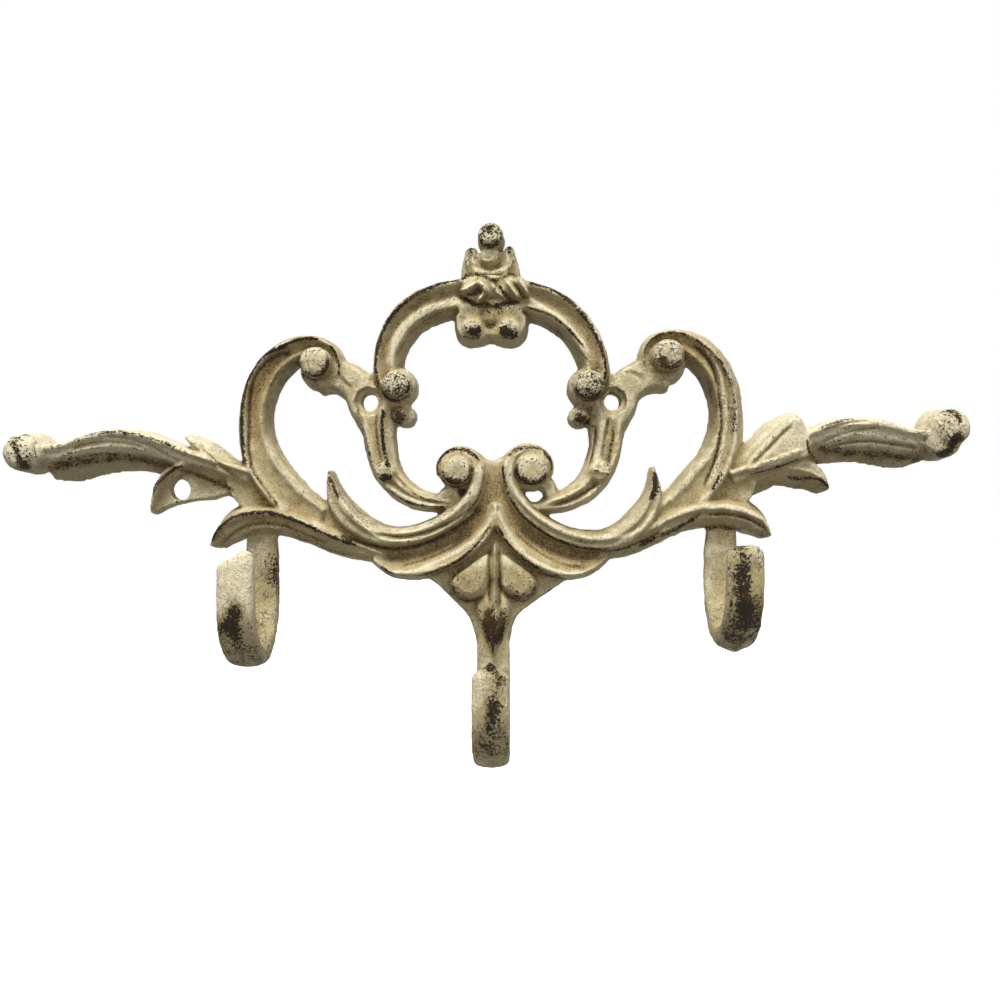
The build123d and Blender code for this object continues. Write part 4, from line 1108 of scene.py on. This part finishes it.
def soften(points, edges, rounds):
    """Rounds of half a step to the mean of the neighbours and a slightly longer step back."""
    for _ in range(rounds):
        points = points + 0.50 * (mean_of_neighbours(points, edges) - points)
        points = points - 0.53 * (mean_of_neighbours(points, edges) - points)
    return points


def fill_creases(mesh, points, edges, rounds, share=0.5):
    """Moves the points of hollow places outwards, to the mean of their neighbours."""
    for step in range(rounds):
        if step % 5 == 0:
            write(mesh, points)
            facing = read(mesh)[2]
        pull = mean_of_neighbours(points, edges) - points
        outward = np.sum(pull * facing, 1, keepdims=True) > 0
        points = points + share * pull * np.where(outward, 1.0, 0.25)
    return points


points, edges, facing = read(cast)
points = soften(points, edges, 4)
points = fill_creases(cast, points, edges, 8)
write(cast, points)
print("softened")

# %% [markdown]
# Ridges and grooves push a point along its line of sight, and only where the skin faces
# the front. Then the whole skin gets the low lumps of a sand mould: random heights on a
# cubic grid, blended smoothly, with fixed seeds so that every run is the same. A
# displacement modifier could add them too, but it would have to be applied before the
# measuring below.

# %% Carve the lines and add the sand grain
CARVE = 1.7
CELLS = 64
GRAIN = [(3.6, 0.15, 11), (1.8, 0.12, 12), (1.1, 0.07, 13)]


def smooth(value, low, high):
    """0 at low, 1 at high, and the smooth slope 3t2 - 2t3 between them."""
    t = np.clip((value - low) / (high - low), 0, 1)
    return t * t * (3 - 2 * t)


def lumps(points, size, seed):
    """Smooth random hills between -1 and 1, about one to each cube of a size."""
    heights = np.random.default_rng(seed).uniform(-1, 1, (CELLS, CELLS, CELLS))
    cell = np.floor(points / size).astype(int)
    t = smooth(points / size - cell, 0, 1)
    total = np.zeros(len(points))
    for corner in np.ndindex(2, 2, 2):
        weight = np.prod(np.where(corner, t, 1 - t), 1)
        total += weight * heights[tuple(((cell + corner) % CELLS).T)]
    return total


points, edges, facing = read(cast)
rise, _, _ = line_fields(points, GROUPS)
sight = EYE - points
sight /= np.linalg.norm(sight, axis=1, keepdims=True)
points = points + sight * (CARVE * rise * smooth(-facing[:, 1], 0.15, 0.6))[:, None]
points = points + 0.3 * (mean_of_neighbours(points, edges) - points)
write(cast, points)
points, edges, facing = read(cast)
for size, height, seed in GRAIN:
    points = points + facing * (height * lumps(points, size, seed))[:, None]
print("carved: lines rise from", rise.min().round(2), "to", rise.max().round(2), "mm")

# %% [markdown]
# ## The finished skin
#
# The skin is thinned to a size that a library part can carry. Flat places lose the most
# triangles. Before it and after it, the points are held inside the box of the CAD
# model.

# %% Thin the skin
LIMIT = 190_000
points = np.clip(points, cad_low / MM, cad_high / MM)
write(cast, points * MM)
piece = bpy.data.objects.new("rack_casting", cast)
bpy.context.scene.collection.objects.link(piece)
triangles = sum(len(face.vertices) - 2 for face in cast.polygons)
thin = piece.modifiers.new("thin", "DECIMATE")
thin.ratio = min(1.0, LIMIT / triangles)
graph = bpy.context.evaluated_depsgraph_get()
final = bpy.data.meshes.new_from_object(piece.evaluated_get(graph), depsgraph=graph)
piece.modifiers.clear()
piece.data = final
write(final, np.clip(read(final)[0], cad_low, cad_high))
final.polygons.foreach_set("use_smooth", [True] * len(final.polygons))
sides = np.empty(len(final.loops), np.int32)
final.loops.foreach_get("edge_index", sides)
open_edges = np.bincount(sides, minlength=len(final.edges)) != 2
print("final:", len(final.polygons), "faces from", triangles)
print("edges without exactly two faces:", open_edges.sum())

# %% [markdown]
# ## Where the paint wears, where it stains, and where shade is painted
#
# Paint rubs off what stands out, and what lies low is darkened: by stain along the carved
# lines, and by painted shade in the hollows. Both can be measured on the skin. A point
# that stands outside the mean of its neighbours is on an edge, and a point that lies
# inside a much smoother copy of the skin is in a hollow. With the carved lines they are
# kept as values on the points, for the paint to read, and so is how much a point faces
# down, which the paint turns into painted shade on the lower walls.

# %% Measure the skin


def keep(mesh, name, values):
    """Stores one number for each point of a mesh."""
    mesh.attributes.new(name, "FLOAT", "POINT").data.foreach_set("value", values.astype(np.float32))
    print(name, "from", values.min().round(2), "to", values.max().round(2))


points, edges, facing = read(final)
points = points / MM
calm = points
for _ in range(4):
    calm = calm + 0.6 * (mean_of_neighbours(calm, edges) - calm)
edge = np.sum((points - calm) * facing, 1)
broad = calm
for _ in range(30):
    broad = broad + 0.7 * (mean_of_neighbours(broad, edges) - broad)
hollow = np.sum((broad - calm) * facing, 1)
_, worn, stain = line_fields(points, GROUPS)
front = smooth(-facing[:, 1], -0.1, 0.5)
keep(final, "edge", np.clip(mean_of_neighbours(edge, edges) / 0.12, -1, 1))
# The hollow number darkens the paint as painted crease shade.
keep(final, "hollow", np.clip(hollow / 0.5, -1, 1))
keep(final, "worn", worn * front)
keep(final, "stain", np.clip(stain, -1, 1.5) * front)
# How much a point faces down: the paint darkens lower walls by it, as painted shade.
keep(final, "shade_below", smooth(-facing[:, 2], 0.0, 0.9))

# %% [markdown]
# ## Where coats and hands have rubbed, and the painted shadow under the knobs
#
# Coats have rubbed the paint off the hooks, and each hook differs. A patch is a soft
# ball in space: how much paint is lost, a middle, and three half lengths. A patch with
# a negative number is one where the paint is thick and pale. The knobs stand out the
# most, so they're speckled with wear all over, and round their lower edges they're
# darkened more, which is a painted shadow.

# %% Patches
PATCHES = [
    (1.5, (-74.8, -42.0, -68.5), (2.6, 12.0, 7.5)),
    (0.7, (-79.0, -42.0, -70.5), (3.0, 10.0, 3.0)),
    (-1.3, (-77.0, -43.0, -55.0), (7.5, 9.0, 8.5)),
    (0.8, (-71.5, -7.0, -57.0), (4.5, 8.0, 9.0)),
    (1.5, (1.6, -42.0, -95.0), (2.6, 12.0, 6.5)),
    (1.1, (0.6, -42.0, -82.5), (3.0, 12.0, 1.8)),
    (0.9, (3.4, -42.0, -86.5), (2.0, 12.0, 2.5)),
    (-0.5, (-1.5, -42.0, -88.0), (4.0, 12.0, 6.0)),
    (1.4, (75.0, -42.0, -58.5), (2.8, 14.0, 13.0)),
    (0.9, (79.0, -42.0, -66.0), (3.0, 14.0, 6.0)),
    (0.65, (-76.6, -32.0, -79.0), (10.0, 18.0, 6.5)),
    (0.65, (76.8, -32.0, -74.0), (10.0, 18.0, 6.5)),
    (0.65, (0.8, -38.0, -107.0), (8.0, 18.0, 7.0)),
    (0.55, (1.0, -12.0, -75.0), (4.5, 8.0, 9.0)),
    (-1.4, (-125.0, -12.0, -12.0), (34.0, 14.0, 11.0)),
    (-1.2, (125.0, -12.0, -8.0), (34.0, 14.0, 12.0)),
]
KNOBS = [
    (-31.0, 5.0, 5.2, 1.0), (32.4, 5.0, 5.2, 1.0), (-57.5, 12.2, 5.6, 0.8), (58.5, 14.8, 5.6, 0.8),
    (-30.0, -4.6, 3.0, 1.0), (30.0, -5.0, 3.0, 1.0), (-34.8, -23.4, 3.6, 0.7), (36.2, -23.2, 3.6, 0.4),
    (-11.2, -22.6, 5.2, 0.8), (13.4, -22.0, 5.4, 0.7), (0.0, 54.6, 4.4, 1.0), (-6.0, 22.6, 3.2, 0.9),
    (6.0, 22.4, 3.2, 0.9), (-8.0, 48.6, 2.4, 1.0), (6.8, 49.4, 2.4, 1.0), (0.0, 37.0, 9.0, 0.6),
    (-156.0, -17.5, 5.6, 0.8), (153.5, -9.4, 5.4, 0.45),
]


def patch_field(points):
    """The sum of the patches, each dying away as a bell from its middle."""
    total = np.zeros(len(points))
    for amount, middle, half in PATCHES:
        total += amount * np.exp(-np.sum(((points - middle) / half) ** 2, 1))
    return total


def knob_field(points):
    """Wear speckle over each knob, and a painted shadow round its lower edge."""
    place, total = seen_at(points, KNOBS_AT), np.zeros(len(points))
    for x, z, radius, amount in KNOBS:
        away = (place - (x, z)) / radius
        far = np.hypot(*away.T)
        # The rim is a painted shadow along each knob's lower edge.
        rim = np.exp(-((far - 0.95) / 0.22) ** 2) * smooth(-away[:, 1], -0.3, 0.8)
        total = np.maximum(total, amount * (0.55 * (1 - smooth(far, 0.9, 1.15)) + 0.75 * rim))
    return total * (points[:, 1] > HOOKS_START)


keep(final, "rubbed", patch_field(points))
keep(final, "knob_wear_and_shade", knob_field(points) * front)

# %% [markdown]
# ## Worn cream paint over iron
#
# The finish is three layers. Thin cream paint lies on top, paler on the ridges and
# golden brown where dirt has settled; it is also darker in hollows and on lower walls,
# which is painted shade. It has chipped off in specks along the edges, and there the
# dark iron shows, with a little rust. A chip's rim is a step in the paint, so the mask
# that shows the iron also lowers the surface in the bump.

# %% Colours and the start of the material
IVORY = (0.765, 0.695, 0.50, 1)
CREAM = (0.475, 0.395, 0.218, 1)
KHAKI = (0.305, 0.207, 0.078, 1)
BROWN = (0.108, 0.067, 0.028, 1)
IRON = (0.026, 0.018, 0.010, 1)
RUST = (0.085, 0.040, 0.016, 1)

material = bpy.data.materials.new("painted_iron")
material.use_nodes = True
shader = material.node_tree.nodes["Principled BSDF"]
shader.inputs["Specular IOR Level"].default_value = 0.16
layer = Wire(material.node_tree)
place = layer.node("ShaderNodeTexCoord", {}, output=3)
print("colours:", len([IVORY, CREAM, KHAKI, BROWN, IRON, RUST]))

# %% [markdown]
# Wear has its place, which the numbers on the points give, and its chance, which clouds
# of noise give. Four sizes of cloud do for most of it, from the width of a thumb down
# to a grain of sand. The cracks are the borders between cells, bent by a cloud so that
# they don't run straight.

# %% Numbers, clouds and cracks


def value(name):
    """One of the numbers that were stored on the points."""
    return layer.node("ShaderNodeAttribute", {}, output=2, attribute_name=name)


def noise(scale, detail=3.0, roughness=0.55):
    """Random clouds, so many to the metre."""
    inputs = {"Vector": place, "Scale": scale, "Detail": detail, "Roughness": roughness}
    return layer.node("ShaderNodeTexNoise", inputs)


names = ("edge", "hollow", "worn", "stain", "rubbed", "shade_below", "knob_wear_and_shade")
edge, hollow, worn, stain, rubbed, shade_below, knob_wear_and_shade = [value(name) for name in names]
broad, middling, fine, grit = noise(42), noise(230, 4), noise(1250, 4, 0.66), noise(3400, 3, 0.6)
warp = layer.node("ShaderNodeTexNoise", {"Vector": place, "Scale": 300.0, "Detail": 3.0}, output=1)
bent = layer.node("ShaderNodeVectorMath", {0: warp, 1: (0.004, 0.004, 0.004), 2: place},
                  operation="MULTIPLY_ADD")
cracks = layer.node("ShaderNodeTexVoronoi", {"Vector": bent, "Scale": 620.0},
                    feature="DISTANCE_TO_EDGE")
print("numbers on the points:", names)

# %% [markdown]
# Each layer is a sum of reasons, cut off by a smooth step: ivory stays on the ridges
# and thins on lower walls as painted shade, khaki gathers on stains and dirt and also in
# hollows and on lower walls as painted shade, and deep brown lies where several reasons
# meet, painted crease shade and the knobs' painted shadow among them.
# Weights were matched to the picture, part by part.

# %% Paint, dirt and painted shade
# Ivory: less of it on walls that face down, which is painted shade.
ivory = (middling + edge * 0.30 + stain * -0.6 + rubbed * -0.6 + shade_below * -0.3).step(0.34, 0.90)
# Khaki: real stain and dirt, together with painted shade in hollows and on lower walls.
dirt_and_shade = (stain * 0.70 + hollow * 0.55 + shade_below * 0.20 + rubbed * 0.50 + knob_wear_and_shade * 0.30 + worn * 0.30
        + (middling - 0.5) * 0.9 + (broad - 0.5) * 0.8 + (grit - 0.5) * 0.5).step(0.02, 0.95)
# Deep brown: stain and wear, together with painted crease shade in hollows and painted shadow under the
# knobs.
deep = (stain * 0.42 + worn * 0.50 + rubbed * 0.35 + hollow * 0.55 + knob_wear_and_shade * 0.60
        + (fine - 0.5) * 1.5 + (grit - 0.5) * 0.7)
paint = deep.step(0.48, 1.05).mix(dirt_and_shade.mix(ivory.mix(CREAM, IVORY), KHAKI), BROWN)
print("nodes for the paint:", len(material.node_tree.nodes))

# %% [markdown]
# Where the paint is lost the iron shows, in three ways: chips along worn edges, fine
# specks round them, and a net of cracks in some places. Pale flecks and brown grains
# lie over what paint is left, which gives the sandy look of an old thin coat.

# %% Chips, specks, cracks and grains
rub = layer.maths("MAXIMUM", rubbed, 0.0)
# Round each knob's lower edge the knobs' number adds painted shadow to the chips.
lost = worn * 0.70 + edge * 0.26 + rub * 0.62 + knob_wear_and_shade * 0.35 + (middling - 0.5) * 0.8
chips = (lost + (fine - 0.5) * 1.9 + (grit - 0.5) * 0.9).step(0.46, 0.68)
# Specks gather a little in hollows too, which darkens them as painted crease shade.
specks = (lost * 0.65 + hollow * 0.2 + (grit - 0.5) * 2.7).step(0.44, 0.78)
crazed = (broad + rubbed * 0.18).step(0.46, 0.60) * (0.075 - cracks).step(0.0, 0.06)
crazed = crazed * middling.step(0.42, 0.56)
bare = layer.maths("MAXIMUM", layer.maths("MAXIMUM", chips, specks * 0.85), crazed * 0.7)
iron = noise(120, 3).step(0.50, 0.68).mix(IRON, RUST)
flecks = (noise(2100, 3, 0.6) + dirt_and_shade * 0.05).step(0.54, 0.74) * 0.45
sandy = (fine * 0.7 + grit * 0.6).step(0.60, 0.84) * 0.55
colour = bare.mix(sandy.mix(flecks.mix(paint, IVORY), BROWN), iron)
print("nodes with the iron:", len(material.node_tree.nodes))

# %% [markdown]
# The bump lowers the bare iron below the paint and adds sand to both. A real
# displacement would need far more triangles for the same look. Iron is a little rougher
# than the paint, and hardly shines, because it is rusted.

# %% Bump, and the material on the piece
height = bare * -0.55 + grit * 0.45 + fine * 0.7 + middling * 0.5
bump = layer.node("ShaderNodeBump", {"Height": height, "Strength": 1.0, "Distance": 0.00085})
for name, wire in (("Base Color", colour), ("Roughness", bare * 0.2 + middling * 0.25 + 0.50),
                   ("Metallic", bare * 0.08), ("Normal", bump)):
    material.node_tree.links.new(wire.socket, shader.inputs[name])
final.materials.clear()
final.materials.append(material)
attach(piece, "root")
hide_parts("casting")
print("painted")
